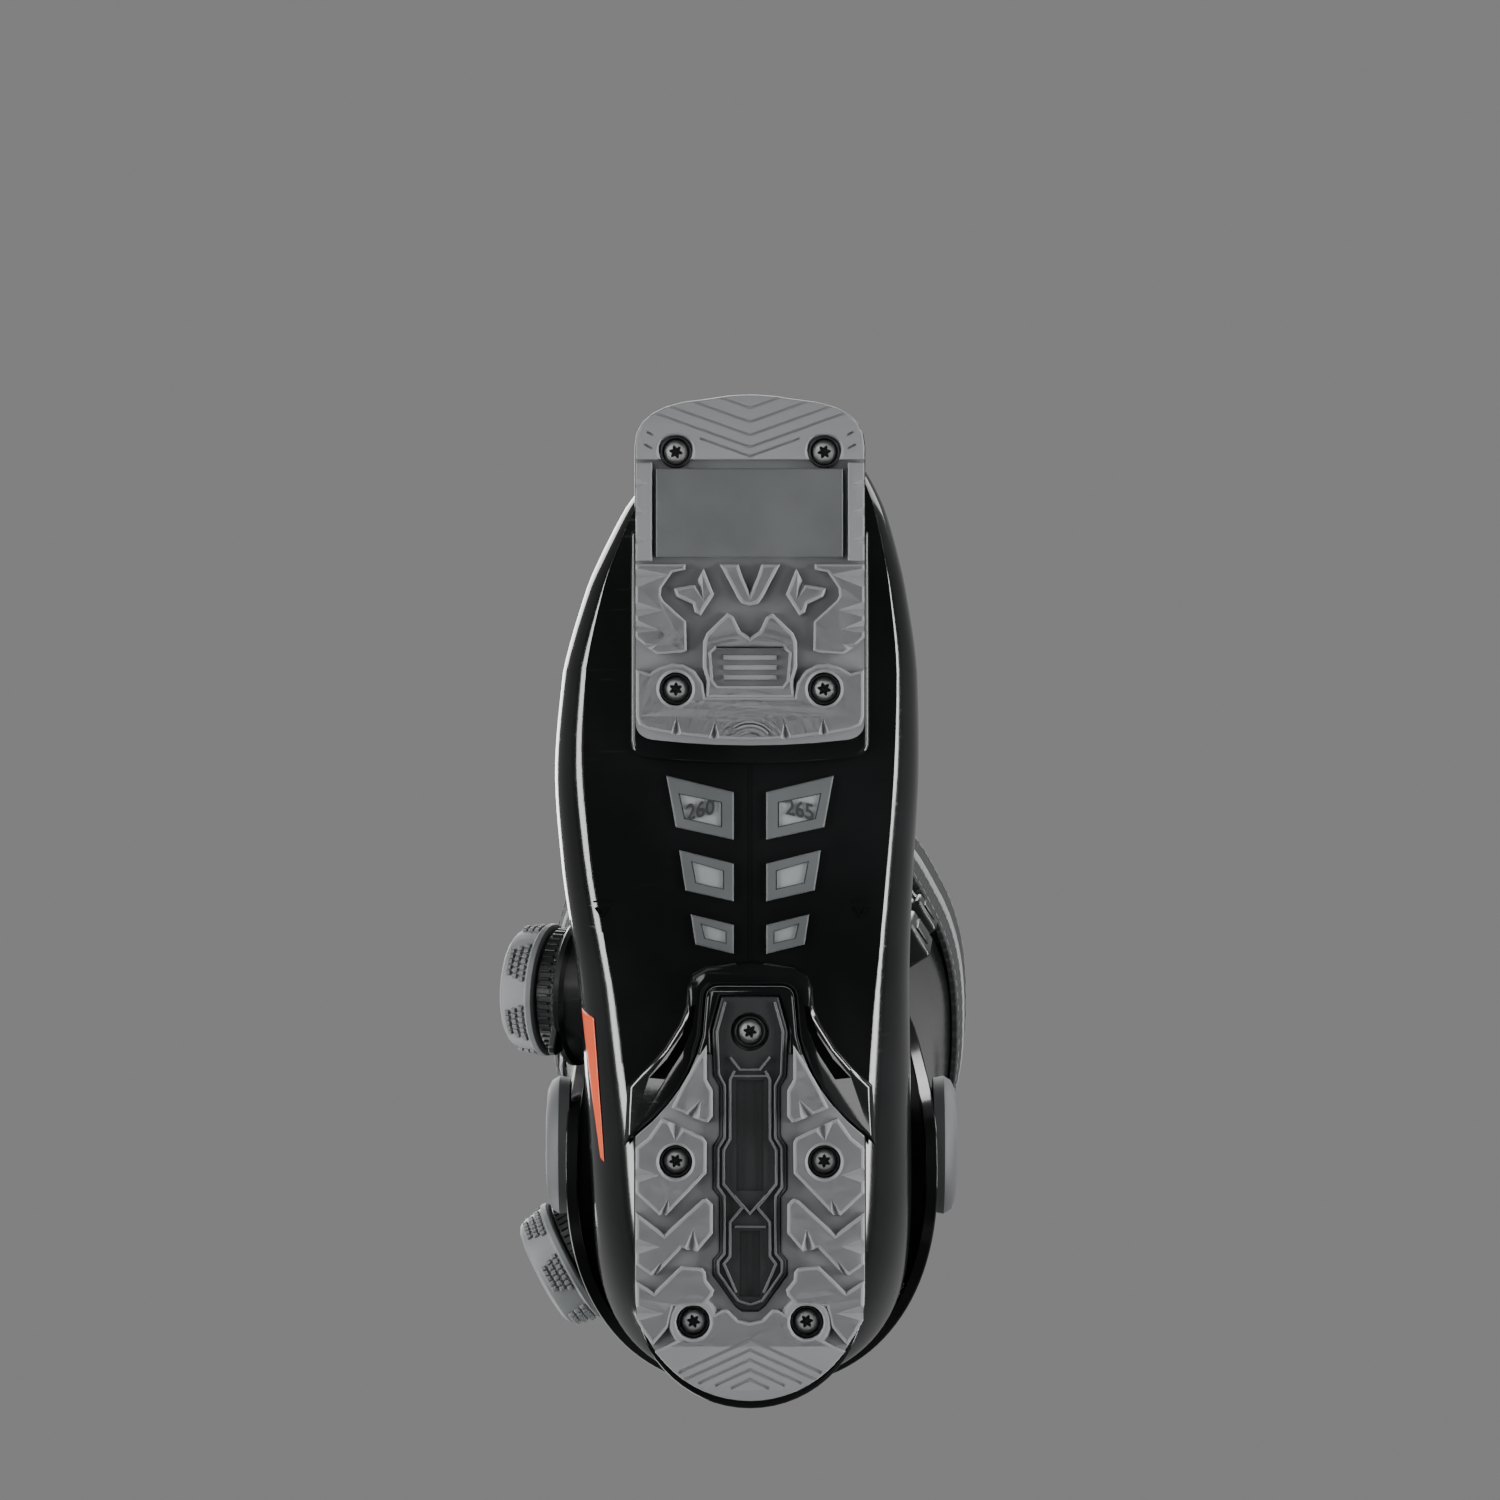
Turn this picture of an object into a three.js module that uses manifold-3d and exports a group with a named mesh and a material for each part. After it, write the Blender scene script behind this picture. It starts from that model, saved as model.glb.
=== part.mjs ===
// A right alpine ski boot: an overlap lower shell and a cuff of hard plastic, each closed by a steel lace
// and a dial, with screwed-on walking soles, a padded liner, a power strap and a cuff that flexes forward
// on two pivot bolts.
// Millimetres, +Z up. The toe points to -Y and the outer (lateral) side of the foot is -X.
import * as THREE from "three";
import { mergeVertices } from "three/addons/utils/BufferGeometryUtils.js";
import Module from "manifold-3d";

const wasm = await Module();
wasm.setup();

// ---- driving dimensions
const SOLE_LENGTH = 304.8; // toe end to heel end, the length a binding is set to
const SOLE_WIDTH = 68.8; // of the toe and heel plates
const TOE_LEDGE = 19; // height of the ledge a binding's toe piece holds
const HEEL_LEDGE = 30; // height of the ledge a binding's heel piece holds
const SHELL_FLOOR = 13; // underside of the shell between the plates
const SHELL_WALL = 4.5;
const CUFF_WALL = 4;
const CUFF_TOP = 306; // at the back
const LINER_WALL = 7;
const SEAT_GAP = 0.3; // between pieces that rest on each other
const RUNNING_GAP = 0.6; // between pieces that slide or turn past each other
const PIVOT_Y = 78; // cuff pivot, behind the middle of the sole
const PIVOT_Z = 88;
const PIVOT_BOLT_R = 4;
const SCREW_R = 2;
const SCREW_HEAD_R = 3.7;
const SCREW_HEAD_HEIGHT = 2.4;
const SCREW_RECESS_R = 5;
const KNOB_R = 21;
const KNOB_HEIGHT = 12.4;
const DIAL_FLANGE_R = 23;
const LACE_R = 0.8;
const LACE_STANDOFF = 2.9; // lace centre above the plastic that it runs over
const STRAP_THICKNESS = 2.2;
const STRAP_WIDTH = 40;

const TOE_PLATE_TOP = 10.7;
const TREAD_DEPTH = 3.6;
const TOE_Y = -SOLE_LENGTH / 2;
const HEEL_Y = SOLE_LENGTH / 2;
const HEEL_PLATE_TOP = SHELL_FLOOR - SEAT_GAP;
const DEGREE = Math.PI / 180;

// ---- solids
function solid(geometry) {
  const bare = new THREE.BufferGeometry().setAttribute("position", geometry.getAttribute("position"));
  if (geometry.index) bare.setIndex(geometry.index);
  const merged = mergeVertices(bare, 1e-4);
  const mesh = {
    numProp: 3,
    vertProperties: merged.attributes.position.array,
    triVerts: new Uint32Array(merged.index.array),
  };
  return new wasm.Manifold(new wasm.Mesh(mesh));
}

function geometryOf(shape) {
  const mesh = shape.getMesh();
  const geometry = new THREE.BufferGeometry();
  geometry.setAttribute("position", new THREE.BufferAttribute(mesh.vertProperties, 3));
  geometry.setIndex(new THREE.BufferAttribute(mesh.triVerts, 1));
  return geometry;
}

// A plan outline pulled up from one height to another.
function slab(outline, low, high) {
  const drawn = outline instanceof THREE.Shape;
  const shape = drawn ? outline : new THREE.Shape(outline.map(([x, y]) => new THREE.Vector2(x, y)));
  const options = { depth: high - low, bevelEnabled: false, curveSegments: 6 };
  const geometry = new THREE.ExtrudeGeometry(shape, options);
  return solid(geometry.translate(0, 0, low));
}

// A side outline, points of [y, z], pushed through the whole width.
function sideSlab(outline, halfWidth = 120) {
  const shape = new THREE.Shape(outline.map(([y, z]) => new THREE.Vector2(y, z)));
  const geometry = new THREE.ExtrudeGeometry(shape, { depth: 2 * halfWidth, bevelEnabled: false });
  geometry.translate(0, 0, -halfWidth);
  const turn = new THREE.Matrix4().makeBasis(
    new THREE.Vector3(0, 1, 0), new THREE.Vector3(0, 0, 1), new THREE.Vector3(1, 0, 0),
  );
  return solid(geometry.applyMatrix4(turn));
}

function cylinder(radius, low, high, segments = 24, topRadius = radius) {
  const geometry = new THREE.CylinderGeometry(topRadius, radius, high - low, segments);
  return geometry.rotateX(Math.PI / 2).translate(0, 0, (low + high) / 2);
}

function lathe(profile, segments = 32) {
  const points = profile.map(([r, z]) => new THREE.Vector2(r, z));
  return new THREE.LatheGeometry(points, segments).rotateX(Math.PI / 2);
}

// Two grids of points, outer[ring][column] and inner[ring][column], joined into a closed wall.
function wallBetween(outer, inner) {
  const rings = outer.length;
  const columns = outer[0].length;
  const points = [...outer.flat(), ...inner.flat()];
  const at = (side, ring, column) => side * rings * columns + ring * columns + column;
  const index = [];
  const quad = (a, b, c, d) => index.push(a, b, c, a, c, d);
  for (let r = 0; r + 1 < rings; r++) {
    for (let c = 0; c + 1 < columns; c++) {
      quad(at(0, r, c), at(0, r, c + 1), at(0, r + 1, c + 1), at(0, r + 1, c));
      quad(at(1, r, c), at(1, r + 1, c), at(1, r + 1, c + 1), at(1, r, c + 1));
    }
    quad(at(0, r, 0), at(0, r + 1, 0), at(1, r + 1, 0), at(1, r, 0));
    quad(
      at(0, r, columns - 1), at(1, r, columns - 1), at(1, r + 1, columns - 1), at(0, r + 1, columns - 1),
    );
  }
  for (let c = 0; c + 1 < columns; c++) {
    quad(at(0, 0, c), at(1, 0, c), at(1, 0, c + 1), at(0, 0, c + 1));
    quad(at(0, rings - 1, c), at(0, rings - 1, c + 1), at(1, rings - 1, c + 1), at(1, rings - 1, c));
  }
  return closed(points, index);
}

// Closed rings of equally many points, joined one to the next and capped at both ends.
function skin(rings) {
  const count = rings[0].length;
  const points = rings.flat();
  const index = [];
  for (let r = 0; r + 1 < rings.length; r++) {
    for (let i = 0; i < count; i++) {
      const j = (i + 1) % count;
      const a = r * count;
      const b = a + count;
      index.push(a + i, a + j, b + j, a + i, b + j, b + i);
    }
  }
  for (const [ring, turned] of [[0, true], [rings.length - 1, false]]) {
    const centre = points.length;
    points.push(rings[ring].reduce((sum, p) => sum.add(p), new THREE.Vector3()).divideScalar(count));
    for (let i = 0; i < count; i++) {
      const a = ring * count + i;
      const b = ring * count + ((i + 1) % count);
      index.push(centre, turned ? b : a, turned ? a : b);
    }
  }
  return closed(points, index);
}

// Makes the solid, turning its faces round if they point in.
function closed(points, index) {
  let volume = 0;
  for (let i = 0; i < index.length; i += 3) {
    volume += points[index[i]].dot(points[index[i + 1]].clone().cross(points[index[i + 2]]));
  }
  const faces = volume < 0 ? index.slice().reverse() : index;
  const geometry = new THREE.BufferGeometry().setFromPoints(points).setIndex(faces);
  return solid(geometry);
}

function circle(shape, x, y, radius) {
  return shape.subtract(solid(cylinder(radius, -20, 60, 12).translate(x, y, 0)));
}

// Moves geometry from its own frame, axis +Z, to a point with that axis along a direction.
function placement(point, direction) {
  const up = new THREE.Vector3(0, 0, 1);
  const turn = new THREE.Quaternion().setFromUnitVectors(up, direction.clone().normalize());
  return new THREE.Matrix4().compose(point, turn, new THREE.Vector3(1, 1, 1));
}

function tube(points, radius, steps, sides = 6) {
  const section = new THREE.Shape();
  for (let i = 0; i < sides; i++) {
    const angle = (2 * Math.PI * i) / sides;
    const [x, y] = [radius * Math.cos(angle), radius * Math.sin(angle)];
    if (i === 0) section.moveTo(x, y);
    else section.lineTo(x, y);
  }
  const path = new THREE.CatmullRomCurve3(points);
  return solid(new THREE.ExtrudeGeometry(section, { extrudePath: path, steps }));
}

// ---- the foot's form: sections that fan round from the toe, under the instep, to the ankle
// Each station has its bottom [y, z], its top [y, z], its lateral and medial half widths, and how square
// its bottom is.
const STATIONS = [
  [[-141.5, 9], [-140.5, 32], 13, 17, 3],
  [[-138.5, 7], [-138, 46], 20.5, 26, 3.4],
  [[-131, 7], [-131, 58], 28.5, 34.5, 4],
  [[-119, 7], [-118, 68], 38, 41, 4],
  [[-97, 7], [-96, 79], 49, 47, 4],
  [[-70, 7], [-67, 90], 57, 51, 4],
  [[-40, 7], [-37, 103], 59.5, 51.5, 4],
  [[-8, 7], [-12, 117], 57.5, 50, 4],
  [[30, 7], [4, 132], 53, 49, 3.6],
  [[80, 7], [13, 145], 50.5, 49.5, 3],
  [[126, 10], [18, 154], 49, 50, 2.6],
  [[146.5, 33], [21, 160], 48.5, 50, 2.4],
  [[149, 64], [22, 164], 48, 49.5, 2.4],
  [[147, 94], [22, 167], 48.5, 49.5, 2.4],
  [[141, 115], [21, 169], 49, 49.5, 2.4],
  [[133, 134], [20, 170], 49, 49.5, 2.4],
];
const BELLY = 0.38; // where a section is widest, as a share of its height
const TOP_POWER = 2.3;
const BOTTOMS = new THREE.CatmullRomCurve3(STATIONS.map(([b]) => new THREE.Vector3(0, b[0], b[1])));
const TOPS = new THREE.CatmullRomCurve3(STATIONS.map(([, t]) => new THREE.Vector3(0, t[0], t[1])));
const WIDTHS = new THREE.CatmullRomCurve3(STATIONS.map(([, , l, m, n]) => new THREE.Vector3(l, m, n)));

// A point on the foot's form, inset mm inside it: along is 0 at the toe and 1 at the ankle, and angle is 0
// at the medial side, 90 at the top and 180 at the lateral side.
function footPoint(along, angle, inset = 0) {
  const low = BOTTOMS.getPoint(along);
  const high = TOPS.getPoint(along);
  const [lateral, medial, square] = WIDTHS.getPoint(along).toArray();
  const up = high.clone().sub(low).normalize();
  low.addScaledVector(up, inset);
  high.addScaledVector(up, -inset);
  const [c, s] = [Math.cos(angle * DEGREE), Math.sin(angle * DEGREE)];
  const power = s < 0 ? square : TOP_POWER;
  const rise = BELLY + Math.sign(s) * (s > 0 ? 1 - BELLY : BELLY) * Math.abs(s) ** (2 / power);
  const reach = (c > 0 ? medial : -lateral) - Math.sign(c) * inset;
  const point = low.lerp(high, rise);
  point.x = reach * Math.abs(c) ** (2 / power);
  point.y += inset * Math.max(0, 1 - 5 * along); // the toe end moves back as well
  return point;
}

const OUTSIDE_RINGS = 19;
const OUTSIDE_SIDES = 24;
const INSIDE_RINGS = 16;
const INSIDE_SIDES = 20;

function footRing(along, inset, sides) {
  return Array.from({ length: sides }, (_, i) => footPoint(along, (360 * i) / sides, inset));
}

function footForm(inset, rings = OUTSIDE_RINGS, sides = OUTSIDE_SIDES, past = 0) {
  const made = Array.from({ length: rings }, (_, i) => footRing(i / (rings - 1), inset, sides));
  if (past) made.push(made.at(-1).map((p) => p.clone().add(new THREE.Vector3(0, -past * 0.25, past))));
  return skin(made);
}

// ---- the leg's form: level rings, wider towards the calf and leaning forward
// Each row is a height, the ring's centre in y, its half depth, and its lateral and medial half widths.
const LEG_ROWS = [
  [52, 83, 71.5, 57, 58],
  [100, 83, 71.5, 58, 59],
  [148, 74, 70, 58, 60],
  [196, 62, 68, 59, 62],
  [244, 51, 69, 62, 66.5],
  [292, 40, 71.5, 65.5, 71.5],
  [340, 29, 74, 68, 74],
];
const LEG_POWER = 2.4;
const DEPTHS = new THREE.CatmullRomCurve3(LEG_ROWS.map(([z, y, d]) => new THREE.Vector3(y, d, z)));
const SPANS = new THREE.CatmullRomCurve3(LEG_ROWS.map(([z, , , l, m]) => new THREE.Vector3(l, m, z)));

// A point on the leg's form: angle is 0 at the front, 90 at the lateral side, 180 at the back and 270 at
// the medial side.
function legPoint(z, angle, inset = 0) {
  const share = (z - LEG_ROWS[0][0]) / (LEG_ROWS.at(-1)[0] - LEG_ROWS[0][0]);
  const [centre, depth] = DEPTHS.getPoint(share).toArray();
  const [lateral, medial] = SPANS.getPoint(share).toArray();
  const [c, s] = [Math.cos(angle * DEGREE), Math.sin(angle * DEGREE)];
  const side = (s > 0 ? lateral : medial) - inset;
  const x = -Math.sign(s) * side * Math.abs(s) ** (2 / LEG_POWER);
  const y = centre - Math.sign(c) * (depth - inset) * Math.abs(c) ** (2 / LEG_POWER);
  return new THREE.Vector3(x, y, z);
}

const steps = (from, to) => Array.from({ length: to - from + 1 }, (_, i) => from + i);

// Every wall round the leg has its corners on the same rows and columns, so that walls inside one another
// stay apart.
const LEG_LOW = 54;
const LEG_ROW = 33;
const LEG_ROW_COUNT = 8;
const LEG_COLUMN = 10;

// A wall round the leg between two rows and two angles. The inset of its outer face may change with the
// angle.
function legWall([low, high], [from, to], outerInset, thickness) {
  const rows = steps(low, high).map((row) => LEG_LOW + row * LEG_ROW);
  const angles = steps(0, (to - from) / LEG_COLUMN).map((column) => from + column * LEG_COLUMN);
  const grid = (extra) => rows.map(
    (z) => angles.map((angle) => legPoint(z, angle, outerInset(angle) + extra)),
  );
  return wallBetween(grid(0), grid(thickness));
}

// The leg's form as one filled solid.
function legForm(inset) {
  const angles = steps(0, 360 / LEG_COLUMN - 1).map((column) => column * LEG_COLUMN);
  const ring = (row) => angles.map((angle) => legPoint(LEG_LOW + row * LEG_ROW, angle, inset));
  return skin(steps(0, LEG_ROW_COUNT).map(ring));
}

const smooth = (x) => {
  const t = Math.min(1, Math.max(0, x));
  return t * t * (3 - 2 * t);
};

// ---- sole plates
const HALF_SOLE = SOLE_WIDTH / 2;
const TOE_CORNER_R = 21;
const TOE_PLATE_END = TOE_Y + 105.4;
const HEEL_PLATE_FRONT = HEEL_Y - 127;
const TOE_SCREWS = [
  [-22.3, TOE_Y + 17.2], [22.3, TOE_Y + 17.2], [-22.3, TOE_Y + 88.5], [22.3, TOE_Y + 88.5],
];
const HEEL_SCREWS = [
  [0, HEEL_Y - 113.4], [-22.3, HEEL_Y - 74.4], [22.3, HEEL_Y - 74.4], [-17, HEEL_Y - 26.2],
  [17, HEEL_Y - 26.2],
];

function toeOutline(grow, end) {
  const half = HALF_SOLE + grow;
  const shape = new THREE.Shape();
  const nose = 62; // radius of the toe end
  const cornerY = TOE_Y - grow + 15.5;
  shape.moveTo(-half, end - 7);
  shape.lineTo(-half, cornerY);
  shape.quadraticCurveTo(-half, cornerY - 12.5, -half + TOE_CORNER_R, TOE_Y - grow + 1.4);
  const spread = Math.asin((half - TOE_CORNER_R) / nose);
  shape.absarc(0, TOE_Y - grow + nose, nose, -Math.PI / 2 - spread, -Math.PI / 2 + spread, false);
  shape.quadraticCurveTo(half, cornerY - 12.5, half, cornerY);
  shape.lineTo(half, end - 7);
  shape.quadraticCurveTo(half, end - 2.6, half - 5, end - 1.7);
  shape.quadraticCurveTo(0, end + 1.7, -half + 5, end - 1.7);
  shape.quadraticCurveTo(-half, end - 2.6, -half, end - 7);
  return shape;
}

function heelOutline(grow) {
  const half = HALF_SOLE + grow;
  const shape = new THREE.Shape();
  shape.moveTo(half, HEEL_Y - 81.5);
  shape.absarc(0, HEEL_Y + grow - half, half, 0, Math.PI, false);
  shape.lineTo(-half, HEEL_Y - 81.5);
  shape.quadraticCurveTo(-18 - grow, HEEL_Y - 95, -14.2 - grow, HEEL_Y - 112);
  shape.lineTo(-13.2 - grow, HEEL_PLATE_FRONT + 3 - grow);
  shape.quadraticCurveTo(-12.6, HEEL_PLATE_FRONT - grow, -9, HEEL_PLATE_FRONT - grow);
  shape.lineTo(9, HEEL_PLATE_FRONT - grow);
  shape.quadraticCurveTo(12.6, HEEL_PLATE_FRONT - grow, 13.2 + grow, HEEL_PLATE_FRONT + 3 - grow);
  shape.lineTo(14.2 + grow, HEEL_Y - 112);
  shape.quadraticCurveTo(18 + grow, HEEL_Y - 95, half, HEEL_Y - 81.5);
  return shape;
}

const mirrored = (outline) => outline.map(([x, y]) => [-x, y]).reverse();
const fromToe = (outline) => outline.map(([x, y]) => [x, TOE_Y + y]);
const fromHeel = (outline) => outline.map(([x, y]) => [x, HEEL_Y - y]);

// Lateral-side lugs, as [x, distance from the toe end].
const TOE_LUGS = [
  [
    [-34.2, 51], [-19.4, 51], [-19.4, 52.7], [-26.3, 57.9], [-27, 60], [-26.3, 62], [-19.2, 68],
    [-19.2, 77.2], [-28, 78.3], [-34.2, 74],
  ],
  [
    [-13.9, 52.3], [-10.7, 59.8], [-14.8, 66.6], [-16.4, 66], [-17.3, 63.6], [-22.6, 60.4], [-22.8, 58.2],
    [-16.5, 57.2],
  ],
];
const TOE_CENTRE_LUG = [[-8.9, 51], [-3.4, 51], [0, 54.8], [3.4, 51], [8.9, 51], [2.4, 62.6], [-2.4, 62.6]];
const TOE_SHIELD_LUG = [
  [-14.2, 90], [-14.2, 75], [-13.3, 72.2], [-6.6, 65.5], [-4.8, 66.5], [-2.4, 71.6], [0, 72.6],
  [2.4, 71.6], [4.8, 66.5], [6.6, 65.5], [13.3, 72.2], [14.2, 75], [14.2, 90],
];
const TOE_BADGE = [
  [-10.6, 75], [10.6, 75], [11.8, 76.6], [11.2, 86], [9.6, 88], [-9.6, 88], [-11.2, 86], [-11.8, 76.6],
];
const TOE_FRONT_END = 19.8; // the chevron field at the tip ends here
const TOE_SLIDE_END = 49.2; // and the smooth slide pad here
const TOE_REAR_BAND = 83; // the flat band across the back starts here
const TOE_REAR_LAND = 103; // and its flat ends here

// Lateral-side lugs, as [x, distance from the heel end].
const HEEL_LUGS = [
  [
    [-13.5, 107.4], [-13.3, 100], [-11, 96.5], [-11, 87.8], [-12.6, 85.9], [-23.5, 90], [-21.3, 93.3],
    [-18.2, 98],
  ],
  [
    [-26.1, 86.9], [-14.4, 81.7], [-13, 79.9], [-13, 70.9], [-25.2, 58], [-34.2, 65.2], [-34.2, 77.8],
    [-30.6, 81.7],
  ],
  [
    [-34.2, 58.7], [-25.7, 52.7], [-14.4, 63], [-13, 63.4], [-11.2, 61.7], [-11.2, 52.9], [-15.8, 48.1],
    [-20.5, 48.5], [-28.4, 40.2], [-29.6, 40], [-34.2, 42.9],
  ],
  [
    [-34.2, 38.2], [-28.6, 35.2], [-20.5, 43.3], [-14.8, 42.5], [-13.2, 41], [-13, 38.9], [-10.9, 35.9],
    [-11, 34.3], [-22.3, 24.4], [-29.2, 19.9], [-33.5, 29],
  ],
];
const HEEL_REAR_LUG = [
  [-28.1, 17.2], [-7.2, 30.1], [-5, 28.5], [-3.2, 26.7], [0, 26], [3.2, 26.7], [5, 28.5], [7.2, 30.1],
  [28.1, 17.2], [40, -5], [-40, -5],
];
const HEEL_INSERT_HALF = [
  [-8.8, 124.1], [-11.4, 113.6], [-10.9, 100.1], [-9, 96.4], [-9, 82.3], [-11, 79], [-11, 66.2],
  [-9.2, 63.9], [-9.2, 47.9], [-11, 45.1], [-11, 40.6], [-3.4, 30.8],
];
const HEEL_INSERT = [...HEEL_INSERT_HALF, ...mirrored(HEEL_INSERT_HALF)];
const INSERT_DEPTH = 4.2;
const INSERT_BOTTOM = 1.4;

function screwHoles(shape, places, recessTop) {
  return places.reduce((left, [x, y]) => {
    const recess = solid(cylinder(SCREW_RECESS_R, -20, recessTop, 16).translate(x, y, 0));
    return circle(left.subtract(recess), x, y, SCREW_R + SEAT_GAP);
  }, shape);
}

const both = (outlines) => [...outlines, ...outlines.map(mirrored)];
const TOE_SCREW_SEAT = 6.4;
const HEEL_SCREW_SEAT = 7.4;
const TOE_SCREW_LENGTH = 9.5;
const HEEL_SCREW_LENGTH = 10.5;

function toeSole() {
  const outline = toeOutline(0, TOE_PLATE_END);
  const lugs = [...both(TOE_LUGS), TOE_CENTRE_LUG, TOE_SHIELD_LUG];
  const tread = lugs.map((lug) => slab(fromToe(lug), 0, TREAD_DEPTH + 1));
  const band = (from, to) => [[-40, from], [40, from], [40, to], [-40, to]];
  const front = slab(fromToe(band(-5, TOE_FRONT_END)), 0, TREAD_DEPTH + 1);
  const strips = both([[[-40, 19], [-28.6, 19], [-28.6, 52], [-40, 52]]]);
  const sides = strips.map((strip) => slab(fromToe(strip), 1, TREAD_DEPTH + 1));
  const slideOutline = [[-27.8, 22.3], [27.8, 22.3], [27.8, TOE_SLIDE_END], [-27.8, TOE_SLIDE_END]];
  const slidePad = slab(fromToe(slideOutline), 0.4, TREAD_DEPTH + 1);
  const rear = slab(fromToe(band(TOE_REAR_BAND, 120)), 0, TREAD_DEPTH + 1);
  const rearPlan = slab(toeOutline(0, TOE_PLATE_END), -1, 20);
  const pads = [...tread, front, ...sides, slidePad, rear].reduce((sum, lug) => sum.add(lug));
  const base = slab(outline, TREAD_DEPTH, TOE_PLATE_TOP);
  const badge = slab(fromToe(TOE_BADGE), -1, 2.2);
  const rocker = sideSlab([
    [TOE_Y - 5, TOE_PLATE_TOP + 1], [TOE_Y - 5, 6.6], [TOE_Y + 9, 3.7], [TOE_Y + 20, 1.6],
    [TOE_Y + 33, 0.3], [TOE_Y + 42, 0], [TOE_Y + TOE_REAR_LAND, 0],
    [TOE_PLATE_END + 5, 3.4], [TOE_PLATE_END + 5, TOE_PLATE_TOP + 1],
  ]);
  const whole = base.add(pads.intersect(rearPlan)).intersect(rocker).subtract(badge);
  return screwHoles(whole, TOE_SCREWS, TOE_SCREW_SEAT);
}

function heelSole() {
  const outline = heelOutline(0);
  const lugs = [...both(HEEL_LUGS), HEEL_REAR_LUG].map((lug) => slab(fromHeel(lug), 0, TREAD_DEPTH + 1));
  const tread = lugs.reduce((sum, lug) => sum.add(lug)).intersect(slab(outline, -1, 20));
  const base = slab(outline, TREAD_DEPTH, HEEL_PLATE_TOP);
  const pocket = slab(fromHeel(grown(HEEL_INSERT, SEAT_GAP)), -1, INSERT_BOTTOM + INSERT_DEPTH + SEAT_GAP);
  const bevel = sideSlab([
    [HEEL_Y - 135, HEEL_PLATE_TOP + 1], [HEEL_Y - 135, 0], [HEEL_Y - 17, 0], [HEEL_Y + 1, 3.2],
    [HEEL_Y + 1, HEEL_PLATE_TOP + 1],
  ]);
  return screwHoles(base.add(tread).intersect(bevel).subtract(pocket), HEEL_SCREWS, HEEL_SCREW_SEAT);
}

// An outline that is wider by a margin on every side of its own centre.
function grown(outline, margin) {
  const xs = outline.map(([x]) => x);
  const ys = outline.map(([, y]) => y);
  const [cx, cy] = [(Math.min(...xs) + Math.max(...xs)) / 2, (Math.min(...ys) + Math.max(...ys)) / 2];
  const sx = 1 + margin / (Math.max(...xs) - cx);
  const sy = 1 + margin / (Math.max(...ys) - cy);
  return outline.map(([x, y]) => [cx + (x - cx) * sx, cy + (y - cy) * sy]);
}

function heelInsert() {
  const body = slab(fromHeel(HEEL_INSERT), INSERT_BOTTOM, INSERT_BOTTOM + INSERT_DEPTH);
  return circle(body, ...HEEL_SCREWS[0], SCREW_RECESS_R + 0.8);
}

function soleScrew(seat, length) {
  const head = SCREW_HEAD_HEIGHT;
  const profile = [
    [0, -head], [SCREW_HEAD_R - 1, -head], [SCREW_HEAD_R, -head + 0.9], [SCREW_HEAD_R, 0],
    [SCREW_R, 0], [SCREW_R, length - 1.5], [0.4, length], [0, length],
  ];
  return solid(lathe(profile, 8).translate(0, 0, seat - SEAT_GAP));
}

// ---- lower shell
// soft windows in the arch: near corner, far corner and their outer edges, from the middle of the sole
const WINDOW_ROWS = [
  [[-4.9, -32.9], [-25.3, -37.9], [-22.9, -22.3], [-4.9, -18.5]],
  [[-4.9, -12], [-21.4, -15.4], [-19.5, -3.2], [-4.9, 0.1]],
  [[-4.9, 6.4], [-17.9, 3.8], [-16.4, 13.3], [-4.9, 16]],
];
const BRIDGE_HALF = [
  [-14, 132.6], [-18.2, 128.7], [-18.8, 123.5], [-20.8, 115.7], [-25, 108.4], [-31.2, 102.2], [-36, 97.5],
  [-36, 78],
];
const BRIDGE_SLOT = [
  [-17.9, 121], [-16.1, 121], [-17, 114.5], [-20, 107], [-25.4, 98.6], [-30, 99.4], [-24.6, 105],
  [-20.3, 112.4],
];
const BRIDGE_BOTTOM = 4.6;
const INLAY_PLATE = 1.6;

const shellOuter = footForm(0);
const shellCavity = footForm(SHELL_WALL, INSIDE_RINGS, INSIDE_SIDES, 30);
const floorCut = sideSlab([[-200, -20], [200, -20], [200, SHELL_FLOOR], [-200, SHELL_FLOOR]]);
const cavityFloor = SHELL_FLOOR + SHELL_WALL;
const aboveCavityFloor = sideSlab([[-200, cavityFloor], [200, cavityFloor], [200, 260], [-200, 260]]);

function pivotDisc(radius, from, to, side) {
  const geometry = cylinder(radius, from, to, 28).rotateY(side * 90 * DEGREE);
  return solid(geometry.translate(0, PIVOT_Y, PIVOT_Z));
}

const FLAP_FROM = 0.26; // share of the way from toe to ankle where the instep flap starts
const FLAP_STEP = 2.4; // how far the flap stands above the plastic beneath it

function instepFlap(grow) {
  const rows = steps(0, 8).map((row) => FLAP_FROM - grow / 400 + ((1 + grow / 400 - FLAP_FROM) * row) / 8);
  const angles = steps(0, 7).map((column) => 66 - grow + ((84 + 2 * grow) * column) / 7);
  const grid = (inset) => rows.map((along) => angles.map((angle) => footPoint(along, angle, inset)));
  return wallBetween(grid(-FLAP_STEP - grow), grid(SHELL_WALL / 2));
}

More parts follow.
